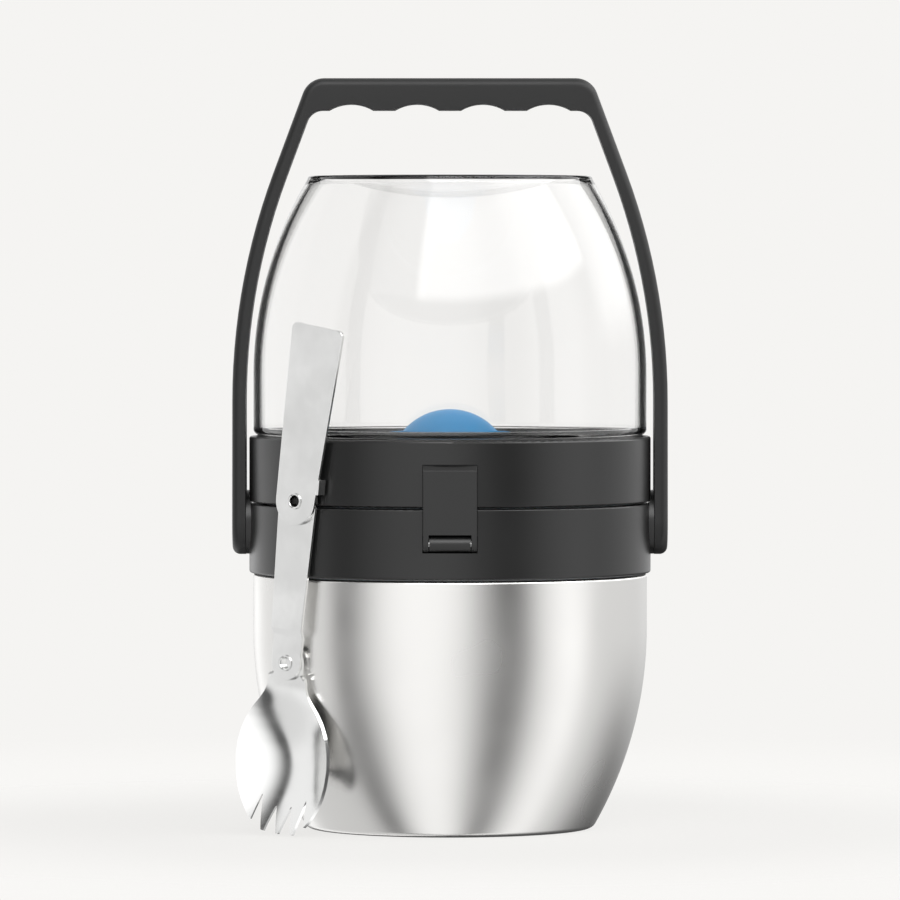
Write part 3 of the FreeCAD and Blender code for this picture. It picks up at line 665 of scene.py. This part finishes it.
@dataclass
class SteelBowl(SubAssembly):
    """Double-walled steel bowl: the spun outer shell and the food space inside it."""

    radius: float = 61.0
    wall: float = 0.8
    belly_height: float = 62.0
    belly_arc: float = 123.2
    foot_fillet: float = 3.0
    foot_curl: float = 2.5
    foot_recess: float = 3.0
    shoulder: float = 79.0
    shoulder_fillet: float = 1.2
    neck: float = 57.5
    rim: float = 99.4
    liner: float = 54.0
    liner_arc: float = 112.0
    liner_floor: float = 10.8
    liner_fillet: float = 10.0
    rim_round: float = 0.4

    def build(self) -> None:
        """Makes both walls."""
        self.keep(self.shell(), "jar", Slot.SHELL, "outer_shell")
        self.keep(self.food_space(), "jar", Slot.LINER, "inner_liner")

    def shell(self) -> bpy.types.Object:
        """The outer wall: curled foot, belly arc, upright wall, rounded shoulder and neck."""
        x, z, meet = wall_corner(
            self.radius, self.belly_arc, self.belly_height, 0, self.foot_fillet)
        centre, curl = self.radius - self.belly_arc, x - self.foot_curl
        inner, wall = self.radius - self.wall, self.wall
        bend, top = self.shoulder - self.shoulder_fillet, self.rim - self.wall
        corner = self.radius - self.shoulder_fillet
        outline = Profile(curl, 0)
        outline.arc(x, z, self.foot_fillet, -90, meet)
        outline.arc(centre, self.belly_height, self.belly_arc, meet, 0)
        outline.line(self.radius, bend)
        outline.arc(corner, bend, self.shoulder_fillet, 0, 90)
        outline.line(self.neck, self.shoulder).line(self.neck, top)
        outline.line(self.neck - wall, top).line(self.neck - wall, self.shoulder - wall)
        outline.line(corner, self.shoulder - wall)
        outline.arc(corner, bend, self.shoulder_fillet - wall, 90, 0)
        outline.line(inner, self.belly_height)
        outline.arc(centre, self.belly_height, self.belly_arc - wall, 0, meet)
        outline.arc(x, z, self.foot_fillet - wall, meet, -90)
        outline.line(curl + wall, wall).line(curl + wall, self.foot_recess)
        outline.line(curl, self.foot_recess)
        return mesh_object("steel_shell", *lathe(outline.points()))

    def food_space(self) -> bpy.types.Object:
        """The inner wall, with a rim turned out over the shell's neck."""
        x, z, meet = wall_corner(
            self.liner, self.liner_arc, self.belly_height, self.liner_floor, self.liner_fillet)
        centre, top = self.liner - self.liner_arc, self.rim - self.wall
        outer = self.liner + self.wall
        outline = Profile(0, self.liner_floor)
        outline.arc(x, z, self.liner_fillet, -90, meet)
        outline.arc(centre, self.belly_height, self.liner_arc, meet, 0)
        turned = self.rim_round
        outline.line(self.liner, self.rim - turned)
        outline.arc(self.liner + turned, self.rim - turned, turned, 180, 90)
        outline.line(self.neck, self.rim).line(self.neck, top).line(outer, top)
        outline.line(outer, self.belly_height)
        outline.arc(centre, self.belly_height, self.liner_arc + self.wall, 0, meet)
        outline.arc(x, z, self.liner_fillet + self.wall, meet, -90)
        outline.line(0, self.liner_floor - self.wall)
        return mesh_object("food_space_wall", *lathe(outline.points()))


@dataclass
class ClearBowl(SubAssembly):
    """Clear bowl, mouth down in the lid's ring, with bayonet lugs on its neck."""

    radius: float = 60.9
    wall: float = 1.9
    top: float = 201.9
    plate: float = 1.6
    upright_top: float = 140.0
    arc: float = 118.5
    edge: float = 1.0
    dish_radius: float = 33.3
    dish_depth: float = 5.3
    neck: float = 57.3
    neck_bottom: float = 106.54  # just clear of its gasket, so that it turns freely
    shoulder: float = 121.9
    shoulder_fillet: float = 1.7
    step_plate: float = 1.3     # thickness of the ledge between the wall and the neck
    step_fillet: float = 1.2
    neck_round: float = 0.4
    lug_count: int = 4
    lug_start: float = 20.0
    lug_angle: float = 18.0
    lug_bottom: float = 108.6
    lug_height: float = 1.8
    lug_reach: float = 1.3
    lug_gap: float = 0.01       # keeps a lug's root off the neck's own faces
    shade_lip_inset: float = 1.1     # the black lip under the shoulder, which also stands in for painted shade in the gap there
    shade_lip_clearance: float = 0.65
    shade_lip_height: float = 3.0
    shade_lip_gap: float = 0.06
    shade_lip_round: float = 0.3

    def build(self) -> None:
        """Makes the bowl with its lugs as one piece."""
        lugs = [
            ring_sector(
                self.neck + self.lug_gap, self.neck + self.lug_reach, self.lug_bottom,
                self.lug_bottom + self.lug_height,
                self.lug_start + i * 360 / self.lug_count, self.lug_angle)
            for i in range(self.lug_count)
        ]
        shape = joined(lathe(self.outline()), *lugs)
        self.keep(mesh_object("bowl_clear_wall", *shape), "bowl", Slot.CLEAR, "clear_bowl")
        # a black lip of the ring, partly real and partly a dark piece that stands in for painted
        # shade under the shoulder
        self.keep(self.shade_lip(), "lid", Slot.RING)

    def shade_lip(self) -> bpy.types.Object:
        """Black lip of the lid's ring under the bowl's shoulder, just clear of both; it also stands
        in for painted shade in that gap.
        """
        outer, inner = self.radius - self.shade_lip_inset, self.neck + self.shade_lip_clearance
        low, high = self.shoulder - self.shade_lip_height, self.shoulder - self.shade_lip_gap
        edge = self.shade_lip_round
        outline = Profile(inner, low).line(outer, low).line(outer, high - edge)
        outline.arc(outer - edge, high - edge, edge, 0, 90).line(inner, high)
        return mesh_object("ring_shade_lip", *lathe(outline.points()))

    def outline(self) -> np.ndarray:
        """The wall's section: neck, rounded shoulder, upright, long arc, edge and dish."""
        centre = self.radius - self.arc
        meet = math.degrees(math.asin((self.top - self.edge - self.upright_top) / self.arc))
        rim = centre + self.arc * math.cos(math.radians(meet))
        inner_arc, ceiling = self.arc - self.wall, self.top - self.plate
        inner_meet = math.degrees(math.asin((ceiling - self.upright_top) / inner_arc))
        inner_neck, inner_wall = self.neck - self.wall, self.radius - self.wall
        shoulder = self.shoulder + self.shoulder_fillet
        dish = (self.dish_radius ** 2 + self.dish_depth ** 2) / (2 * self.dish_depth)
        dish_centre = self.top + dish - self.dish_depth
        dish_side = -math.degrees(math.acos(self.dish_radius / dish))
        under = dish + self.plate
        under_side = -math.degrees(math.asin((dish_centre - ceiling) / under))
        outline = Profile(inner_neck, self.neck_bottom, arc_step_deg=2.0)
        outline.line(self.neck, self.neck_bottom).line(self.neck, self.shoulder)
        outline.line(self.radius - self.shoulder_fillet, self.shoulder)
        outline.arc(self.radius - self.shoulder_fillet, shoulder, self.shoulder_fillet, -90, 0)
        outline.arc(centre, self.upright_top, self.arc, 0, meet)
        outline.arc(rim - self.edge, self.top - self.edge, self.edge, 0, 90)
        outline.line(self.dish_radius, self.top)
        outline.arc(0, dish_centre, dish, dish_side, -90)
        outline.arc(0, dish_centre, under, -90, under_side)
        outline.line(centre + inner_arc * math.cos(math.radians(inner_meet)), ceiling)
        outline.arc(centre, self.upright_top, inner_arc, inner_meet, 0)
        step = self.shoulder + self.step_plate
        outline.arc(inner_wall - self.step_fillet, step + self.step_fillet, self.step_fillet,
                    0, -90)
        bend = self.neck_round
        outline.line(inner_neck + bend, step)
        outline.arc(inner_neck + bend, step - bend, bend, 90, 180)
        return outline.points()


@dataclass
class VentButton(SubAssembly):
    """Blue dome on a stem; pressing it opens the valve below."""

    dome: float = 19.2
    top: float = 129.7
    base: float = 112.0
    wall: float = 1.8
    stem: float = 4.0
    stem_bottom: float = 101.0
    bore: float = 2.0
    bore_reach: float = 7.0

    def build(self) -> None:
        """Makes the dome and its stem as one lathed piece."""
        centre = self.top - self.dome
        lift = self.base - centre
        outer_side = math.degrees(math.asin(lift / self.dome))
        inner = self.dome - self.wall
        inner_side = math.degrees(math.asin(lift / inner))
        join = math.degrees(math.acos(self.stem / inner))
        outline = Profile(0, self.stem_bottom + self.bore_reach, arc_step_deg=2.0)
        outline.line(self.bore, self.stem_bottom + self.bore_reach)
        outline.line(self.bore, self.stem_bottom).line(self.stem, self.stem_bottom)
        outline.arc(0, centre, inner, join, inner_side)
        outline.arc(0, centre, self.dome, outer_side, 90)
        piece = mesh_object("vent_dome", *lathe(outline.points()))
        self.keep(piece, "vent", Slot.VENT, "vent_button")


@dataclass(frozen=True)
class RoundedNode:
    """A CAD node whose shape is right, and how its edges are rounded."""

    node: str
    body: str
    radius: float
    angle_deg: float            # edges that turn by more than this are rounded


@dataclass
class SoftEdges(SubAssembly):
    """Moulded and stamped parts whose CAD shape is right: copies of them with rounded edges."""

    parts: tuple[RoundedNode, ...] = (
        RoundedNode("spork_link", "link", 0.26, 50.0),
        RoundedNode("spork_handle", "handle", 0.26, 50.0),
        RoundedNode("latch_flap", "latch", 0.22, 38.0),
        RoundedNode("bail_handle", "bail", 0.7, 38.0),
        RoundedNode("bail_caps", "bail", 0.3, 50.0),
    )
    merge: float = 0.002
    flat_deg: float = 0.6       # triangles that turn by less are one flat face
    crease_deg: float = 28.0
    segments: int = 3

    def build(self) -> None:
        """Makes each copy and puts it in the node's place."""
        slots = node_slots()
        for part in self.parts:
            self.keep(self.rounded(part), part.body, slots[part.node], part.node)

    def rounded(self, part: RoundedNode) -> bpy.types.Object:
        """A copy of a CAD node, merged, with its flat faces made whole and its edges rounded.

        Args:
            part: the node and its rounding.

        Returns:
            The new object.
        """
        name = f"{part.node}_soft"
        mesh = frame["nodes"][part.node].data.copy()
        mesh.name = name
        whole = bmesh.new()
        whole.from_mesh(mesh)
        bmesh.ops.remove_doubles(whole, verts=whole.verts, dist=self.merge * MM)
        bmesh.ops.dissolve_limit(
            whole, angle_limit=math.radians(self.flat_deg), verts=whole.verts,
            edges=whole.edges)
        whole.to_mesh(mesh)
        whole.free()
        for stored in ("custom_normal", "sharp_edge", "sharp_face"):
            if stored in mesh.attributes:
                mesh.attributes.remove(mesh.attributes[stored])
        made = smooth_object(name, mesh, self.crease_deg)
        round_edges(made, part.radius, self.segments, part.angle_deg)
        return made


def round_edges(piece: bpy.types.Object, radius: float, segments: int,
                angle_deg: float) -> None:
    """Rounds a piece's edges and keeps the shading of its flat faces.

    Args:
        piece: the object.
        radius: in millimetres.
        segments: faces across the rounded edge.
        angle_deg: edges that turn by more than this are rounded.
    """
    bevel = piece.modifiers.new("rounded_edges", "BEVEL")
    bevel.width, bevel.segments = radius * MM, segments
    bevel.limit_method, bevel.angle_limit = "ANGLE", math.radians(angle_deg)
    bevel.harden_normals = True
    bevel.use_clamp_overlap = True


@dataclass
class Spork(SubAssembly):
    """Folding spork: dished bowl with five tines, and the hollow rivets of its two joints.

    A local point is x across, y away from the viewer and z up from the lower rivet. It is
    tilted in the spork's plane, set at its rivet and turned with that plane round the jar.
    """

    turn_deg: float = 37.0
    standoff: float = 60.35
    plate: float = 1.2
    gap: float = 0.05
    rivet_u: float = -15.5
    rivet_z: float = 53.2
    link_length: float = 49.8
    link_tilt: float = 6.45
    bowl_tilt: float = 5.2
    neck_round: float = 5.4
    depth: float = 6.4
    dish_centre: float = -31.0
    dish_reach: float = 24.2
    dish_ease: float = 1.9
    sheet: float = 1.0
    # the outline down from the rivet: the neck with its small shoulders, the egg-shaped
    # bowl, and the curve through the tines' tips
    heights: tuple[float, ...] = (
        0.0, -3.4, -4.4, -7.0, -9.5, -12.0, -15.0, -18.0, -22.0, -26.0, -31.0, -36.0,
        -40.0, -44.0, -47.5, -50.5, -52.4)
    half_widths: tuple[float, ...] = (
        5.4, 5.4, 7.1, 7.3, 8.2, 10.0, 12.6, 14.5, 16.3, 17.3, 17.7, 17.2, 16.2, 14.4,
        12.2, 9.2, 6.2)
    tine_spacing: float = 5.7
    tine_tip: float = 0.45      # half the width of a tine's tip
    tip_depth: float = -52.6
    notch_tops: tuple[float, float] = (-43.6, -40.9)
    tip_curve: float = 0.010    # how much the row of tips rises to the sides
    notch_round: float = 0.02
    outline_softness: float = 0.55      # the reach over which the outline's knots are smoothed
    rim_low: float = -50.0      # below this the dish keeps its width
    columns: int = 341
    rows: int = 130
    crease_deg: float = 45.0
    eyelet_bore: float = 1.72
    eyelet_barrel: float = 1.98
    eyelet_flange: float = 2.5
    eyelet_rolled: float = 0.22

    def build(self) -> None:
        """Makes the bowl and both rivets."""
        self.keep(self.bowl(), "spork", Slot.SPORK, "spork_bowl")
        lower = self.plate + self.gap
        upper = lower + self.plate + self.gap
        lean = math.radians(self.link_tilt)
        self.keep(
            self.eyelet("lower_eyelet", 0.0, lower + self.plate, self.rivet_u, self.rivet_z),
            "spork", Slot.RIVET, "spork_lower_rivet")
        self.keep(
            self.eyelet(
                "upper_eyelet", upper, upper + 2 * self.plate + self.gap,
                self.rivet_u + self.link_length * math.sin(lean),
                self.rivet_z + self.link_length * math.cos(lean)),
            "link", Slot.RIVET, "spork_upper_rivet")

    def placed(self, points: np.ndarray, tilt_deg: float, u: float, z: float) -> np.ndarray:
        """Local points tilted about the rivet, moved to it and turned round the jar.

        Args:
            points: n by 3, local.
            tilt_deg: how far the top leans to the right.
            u: the rivet's place along the spork's plane.
            z: the rivet's height.

        Returns:
            n by 3, in the jar's frame.
        """
        tilt, turn = math.radians(tilt_deg), math.radians(-self.turn_deg)
        x, y, up = points.T
        across = x * math.cos(tilt) + up * math.sin(tilt) + u
        height = -x * math.sin(tilt) + up * math.cos(tilt) + z
        away = y - self.standoff
        return np.column_stack([
            across * math.cos(turn) - away * math.sin(turn),
            across * math.sin(turn) + away * math.cos(turn), height])

    def half_width(self, z: np.ndarray) -> np.ndarray:
        """The outline's half-width at a height: the knots joined, then smoothed with a bell."""
        low, high, step, side = -56.0, 6.0, 0.05, 40
        fine = np.linspace(low, high, round((high - low) / step) + 1)
        width = np.interp(fine, self.heights[::-1], self.half_widths[::-1])
        reach = np.arange(-side, side + 1) * step
        weight = np.exp(-0.5 * (reach / self.outline_softness) ** 2)
        padded = np.pad(width, side, mode="edge")
        return np.interp(z, fine, np.convolve(padded, weight / weight.sum(), mode="valid"))

    def lower_edge(self, x: np.ndarray) -> np.ndarray:
        """Where the sheet ends below: round through the tips, with four V-shaped notches."""
        fine = np.linspace(self.heights[-1], self.dish_centre, 1500)
        width = self.half_width(fine)
        order = np.argsort(width)
        edge = np.interp(np.abs(x), width[order], fine[order])
        edge = np.where(np.abs(x) < width.min(), self.tip_depth, edge)
        edge = np.maximum(edge, self.tip_depth + self.tip_curve * x ** 2)
        for side in (1, -1):
            for top, inner in zip(self.notch_tops, (0, 1)):
                middle = side * (inner + 0.5) * self.tine_spacing
                half = self.tine_spacing / 2 - self.tine_tip
                steep = (top - self.tip_depth) / half
                notch = top - steep * np.sqrt((x - middle) ** 2 + self.notch_round)
                edge = np.maximum(edge, notch)
        return edge

    def bowl(self) -> bpy.types.Object:
        """The dished sheet.

        Column s runs across from -1 to 1, closer together at the sides, and row t down from
        the neck's round end to the lower edge. A point lies at the half-width times s, and
        below the widest place straight down. Its depth is a parabola across, which is nil
        at the rim, times a power of a parabola along, which starts level at the neck.

        Returns:
            The bowl, with its thickness and its rounded rim.
        """
        s = np.sin(np.linspace(-0.5, 0.5, self.columns) * math.pi)[None, :]
        t = np.linspace(0.0, 1.0, self.rows)[:, None]
        end = self.lower_edge(s[0] * max(self.half_widths))
        top = self.neck_round * np.sqrt(np.clip(1.0 - s[0] ** 2, 0.0, 1.0))
        z = top[None, :] + (end - top)[None, :] * t
        wide = self.half_width(np.maximum(z, self.dish_centre))
        x = s * np.where(z > 0, self.neck_round, wide)
        rim = self.half_width(np.clip(z, self.rim_low, 0.0))
        along = np.clip(1.0 - ((z - self.dish_centre) / self.dish_reach) ** 2, 0.0, 1.0)
        across = np.clip(1.0 - (x / np.maximum(rim, 1.0)) ** 2, 0.0, 1.0)
        bend = along ** self.dish_ease
        y = -self.plate + self.depth * bend * across
        points = np.stack([x, y, z], axis=-1).reshape(-1, 3)
        faces = grid_faces(self.rows, self.columns, round_columns=False)[:, TURNED]
        world = self.placed(points, self.bowl_tilt, self.rivet_u, self.rivet_z)
        piece = sheet_object("spork_dish", world, faces)
        thick = piece.modifiers.new("sheet_thickness", "SOLIDIFY")
        thick.thickness, thick.offset = self.sheet * MM, -1.0
        thick.use_even_offset = False
        return finished(piece, self.crease_deg)

    def eyelet(self, name: str, back: float, front: float, u: float,
               z: float) -> bpy.types.Object:
        """A hollow rivet rolled over both plates, lathed about the line it stands on.

        Args:
            name: the object's name.
            back: where its back flange lies, in front of the spork bowl's back.
            front: where its front flange lies.
            u: its place along the spork's plane.
            z: its height.

        Returns:
            The rivet.
        """
        bore, barrel = self.eyelet_bore, self.eyelet_barrel
        flange, rolled = self.eyelet_flange, self.eyelet_rolled
        outline = Profile(barrel, back, arc_step_deg=15.0).line(flange - rolled, back)
        outline.arc(flange - rolled, back - rolled, rolled, 90, -90)
        outline.arc(bore + 2 * rolled, back, 2 * rolled, -90, -180)
        outline.arc(bore + 2 * rolled, front, 2 * rolled, 180, 90)
        outline.arc(flange - rolled, front + rolled, rolled, 90, -90)
        outline.line(barrel, front)
        points, faces = lathe(outline.points(), steps=96)
        local = np.column_stack([points[:, 0], -points[:, 2], points[:, 1]])
        return mesh_object(name, self.placed(local, 0.0, u, z), faces, crease_deg=50.0)


def finished(piece: bpy.types.Object, crease_deg: float) -> bpy.types.Object:
    """Puts a piece's modifiers into its mesh and keeps its sharp edges sharp.

    Args:
        piece: the object.
        crease_deg: edges sharper than this stay sharp.

    Returns:
        The same object.
    """
    mesh = bpy.data.meshes.new_from_object(
        piece.evaluated_get(bpy.context.evaluated_depsgraph_get()))
    piece.modifiers.clear()
    piece.data = mesh
    mesh.name = piece.name
    mesh.set_sharp_from_angle(angle=math.radians(crease_deg))
    return piece


def sheet_object(name: str, points: np.ndarray, faces: np.ndarray) -> bpy.types.Object:
    """An open sheet as a smooth object; its faces keep the order that they come in.

    Args:
        name: the object's name.
        points: n by 3, in millimetres.
        faces: m by 4 indices.

    Returns:
        The object, linked to the scene.
    """
    mesh = bpy.data.meshes.new(name)
    mesh.from_pydata((points * MM).tolist(), [], faces.tolist())
    seam = bmesh.new()
    seam.from_mesh(mesh)
    bmesh.ops.remove_doubles(seam, verts=seam.verts, dist=SHEET_WELD_M)
    seam.to_mesh(mesh)
    seam.free()
    return smooth_object(name, mesh)


# Floor, light and camera


@dataclass(frozen=True)
class SoftBox:
    """A broad soft light in the surroundings, placed by its direction round the jar."""

    azimuth_deg: float          # 0 is the front, 90 is the right
    core_deg: float             # half the width of its even part
    fade_deg: float             # how far it takes to fade out
    strength: float
    low_deg: float = -100.0     # elevations between which it shines; past 90 is no limit
    high_deg: float = 100.0
    edge_deg: float = 10.0      # how far it takes to fade out up and down


@dataclass
class Studio:
    """Plain pale floor and backdrop, soft boxes round the jar and a long lens in front."""

    backdrop: str = "#F5F4F2"
    dark_level: float = 0.1
    boxes: tuple[SoftBox, ...] = (
        SoftBox(-17.0, 4.0, 44.0, 1.35),
        SoftBox(66.0, 4.0, 24.0, 0.75),
        SoftBox(108.0, 14.0, 54.0, 0.86),
        SoftBox(-116.0, 40.0, 8.0, 1.0),
        SoftBox(40.0, 57.0, 7.0, 4.2, 23.0, 66.0, 2.5),
        SoftBox(124.0, 12.0, 16.0, 1.6, 8.0, 70.0, 6.0),
        SoftBox(180.0, 12.0, 30.0, 0.85),
        SoftBox(158.0, 14.0, 46.0, -0.75, -100.0, -12.0),
        SoftBox(172.0, 14.0, 16.0, -0.5, -100.0, -2.0),
        SoftBox(-90.0, 30.0, 40.0, -0.2, -100.0, -22.0),
    )
    floor_rings: tuple[float, ...] = (0.0, 60.0, 150.0, 300.0, 700.0)
    floor_steps: int = 96
    floor_drop: float = 0.05    # keeps the paper off the foot's own faces
    fade_from: float = 100.0    # where the paper starts to give way to the backdrop
    fade_to: float = 500.0
    paper: str = "#F2F1EF"
    paper_share: float = 0.12   # how much of the floor is lit paper; the rest glows evenly
    paper_glow: float = 0.945
    even_level: float = 0.6     # the light that matt surfaces get from all round
    overhead_level: float = 0.9
    overhead_from: float = 0.75     # the sine of the height where the light overhead starts
    overhead_full: float = 0.95
    key_place: tuple[float, float, float] = (-900.0, -1300.0, 1500.0)
    key_size: float = 1300.0
    key_watts: float = 4.0
    top_place: tuple[float, float, float] = (0.0, 300.0, 1900.0)
    top_size: float = 1600.0
    top_watts: float = 3.0
    lamps_aim: tuple[float, float, float] = (0.0, 0.0, 100.0)
    camera_distance: float = 2400.0
    camera_height: float = 180.0
    camera_pitch_deg: float = 1.503
    lens_mm: float = 310.0
    sensor_mm: float = 36.0

    def build(self) -> None:
        """Makes the floor, the surroundings, the lamps and the camera."""
        bpy.context.scene.view_settings.view_transform = "Standard"
        self.floor()
        self.surroundings()
        self.lamp("key_panel", self.key_place, self.key_size, self.key_watts)
        self.lamp("top_panel", self.top_place, self.top_size, self.top_watts)
        self.camera()

    def floor(self) -> None:
        """A disc that keeps the jar's shadow and fades into the backdrop further out."""
        rings, steps = len(self.floor_rings), self.floor_steps
        angle = np.linspace(0, 2 * np.pi, steps, endpoint=False)
        radius = np.array(self.floor_rings)[:, None]
        points = np.stack([
            radius * np.cos(angle), radius * np.sin(angle),
            np.full((rings, steps), -self.floor_drop),
        ], axis=-1).reshape(-1, 3)
        faces = grid_faces(rings, steps)[:, TURNED]
        disc = mesh_object("studio_floor", points, faces)
        disc.data.materials.append(self.floor_material())

    def floor_material(self) -> bpy.types.Material:
        """Matt paper that shows a soft shadow near the jar and the plain backdrop far out."""
        made, tree = new_material("studio_paper")
        place = add(tree, "ShaderNodeTexCoord").outputs["Object"]
        far = add(tree, "ShaderNodeVectorMath", {0: place}, operation="LENGTH")
        fade = add(tree, "ShaderNodeMapRange", {
            "Value": far.outputs["Value"], "From Min": self.fade_from * MM,
            "From Max": self.fade_to * MM}, interpolation_type="SMOOTHSTEP")
        paper = add(tree, "ShaderNodeBsdfDiffuse", {"Color": linear(self.paper)})
        glow = add(tree, "ShaderNodeEmission", {
            "Color": linear(self.backdrop), "Strength": self.paper_glow})
        shown = add(tree, "ShaderNodeMixShader", {
            0: self.paper_share, 1: glow.outputs[0], 2: paper.outputs[0]})
        none = add(tree, "ShaderNodeBsdfTransparent")
        ray = add(tree, "ShaderNodeLightPath")
        seen = add(tree, "ShaderNodeMath", {
            0: ray.outputs["Is Camera Ray"], 1: ray.outputs["Is Transmission Ray"]},
            operation="MAXIMUM")
        gone = add(tree, "ShaderNodeMath", {
            0: fade.outputs[0], 1: seen.outputs[0]}, operation="MULTIPLY")
        past = add(tree, "ShaderNodeMath", {
            0: gone.outputs[0], 1: ray.outputs["Is Glossy Ray"]}, operation="MAXIMUM")
        mixed = add(tree, "ShaderNodeMixShader", {
            0: past.outputs[0], 1: shown.outputs[0], 2: none.outputs[0]})
        close_tree(tree, mixed.outputs[0])
        return made

    def surroundings(self) -> None:
        """The world: soft boxes by direction, and the plain backdrop where it is looked at."""
        world = bpy.data.worlds.new("studio_surroundings")
        bpy.context.scene.world = world
        world.use_nodes = True
        tree = world.node_tree
        tree.nodes.clear()
        place = add(tree, "ShaderNodeTexCoord").outputs["Generated"]
        split = add(tree, "ShaderNodeSeparateXYZ", {0: place})
        front = add(tree, "ShaderNodeMath", {0: split.outputs["Y"], 1: -1.0},
                    operation="MULTIPLY")
        turn = add(tree, "ShaderNodeMath", {0: split.outputs["X"], 1: front.outputs[0]},
                   operation="ARCTAN2")
        level = add(tree, "ShaderNodeValue").outputs[0]
        level.default_value = self.dark_level
        for box in self.boxes:
            away = add(tree, "ShaderNodeMath", {
                0: turn.outputs[0], 1: math.radians(box.azimuth_deg)}, operation="SUBTRACT")
            near = add(tree, "ShaderNodeMath", {0: away.outputs[0]}, operation="COSINE")
            lit = add(tree, "ShaderNodeMapRange", {
                "Value": near.outputs[0],
                "From Min": math.cos(math.radians(box.core_deg + box.fade_deg)),
                "From Max": math.cos(math.radians(box.core_deg)),
                "To Min": 0.0, "To Max": box.strength},
                interpolation_type="SMOOTHSTEP").outputs[0]
            for edge, outward in ((box.low_deg, -1), (box.high_deg, 1)):
                if abs(edge) < 90.0:
                    kept = add(tree, "ShaderNodeMapRange", {
                        "Value": split.outputs["Z"],
                        "From Min": math.sin(math.radians(edge + outward * box.edge_deg)),
                        "From Max": math.sin(math.radians(edge - outward * box.edge_deg)),
                        "To Min": 0.0, "To Max": 1.0}, interpolation_type="SMOOTHSTEP")
                    lit = add(tree, "ShaderNodeMath", {0: lit, 1: kept.outputs[0]},
                              operation="MULTIPLY").outputs[0]
            level = add(tree, "ShaderNodeMath", {0: level, 1: lit},
                        operation="ADD").outputs[0]
        level = add(tree, "ShaderNodeMath", {0: level, 1: self.dark_level},
                    operation="MAXIMUM").outputs[0]
        up = add(tree, "ShaderNodeMapRange", {
            "Value": split.outputs["Z"], "From Min": self.overhead_from,
            "From Max": self.overhead_full}, interpolation_type="SMOOTHSTEP")
        level = add(tree, "ShaderNodeMix", {
            "Factor": up.outputs[0], "A": level,
            "B": self.overhead_level}).outputs["Result"]
        ray = add(tree, "ShaderNodeLightPath")
        level = add(tree, "ShaderNodeMix", {
            "Factor": ray.outputs["Is Diffuse Ray"], "A": level,
            "B": self.even_level}).outputs["Result"]
        light = add(tree, "ShaderNodeBackground", {
            "Color": linear("#FFFFFF"), "Strength": level})
        plain = add(tree, "ShaderNodeBackground", {
            "Color": linear(self.backdrop), "Strength": 1.0})
        seen = add(tree, "ShaderNodeMath", {
            0: ray.outputs["Is Camera Ray"], 1: ray.outputs["Is Transmission Ray"]},
            operation="MAXIMUM")
        mixed = add(tree, "ShaderNodeMixShader", {
            0: seen.outputs[0], 1: light.outputs[0], 2: plain.outputs[0]})
        add(tree, "ShaderNodeOutputWorld", {"Surface": mixed.outputs[0]})

    def lamp(self, name: str, place: tuple[float, float, float], size: float,
             power: float) -> None:
        """A square area lamp aimed at the jar's middle.

        Args:
            name: the lamp's name.
            place: where it is.
            size: its side.
            power: in watts.
        """
        data = bpy.data.lights.new(name, "AREA")
        data.size, data.energy = size * MM, power
        made = linked(name, data)
        made.location = Vector(place) * MM
        aim = Vector(self.lamps_aim) - Vector(place)
        made.rotation_euler = aim.to_track_quat("-Z", "Y").to_euler()
        made.visible_glossy = False

    def camera(self) -> None:
        """A long lens level with the lid, turned down a little, as the photograph has it."""
        data = bpy.data.cameras.new("front_camera")
        data.lens, data.sensor_width = self.lens_mm, self.sensor_mm
        data.clip_start, data.clip_end = 0.1, 20.0
        made = linked("front_camera", data)
        made.location = (0.0, -self.camera_distance * MM, self.camera_height * MM)
        made.rotation_euler = (math.radians(90.0 - self.camera_pitch_deg), 0.0, 0.0)
        bpy.context.scene.camera = made


def main() -> None:
    """Builds the jar's looks in order and reports each piece, then builds the studio."""
    logging.basicConfig(level=logging.INFO, format="%(name)s: %(message)s")
    Wardrobe.dress_nodes()
    for group in (SteelBowl(), ClearBowl(), VentButton(), SoftEdges(), Spork()):
        group.build()
        for piece in group.made:
            log.info("%s made %s with %d faces", type(group).__name__, piece.name,
                     len(piece.data.polygons))
    Studio().build()


if __name__ == "__main__":
    main()
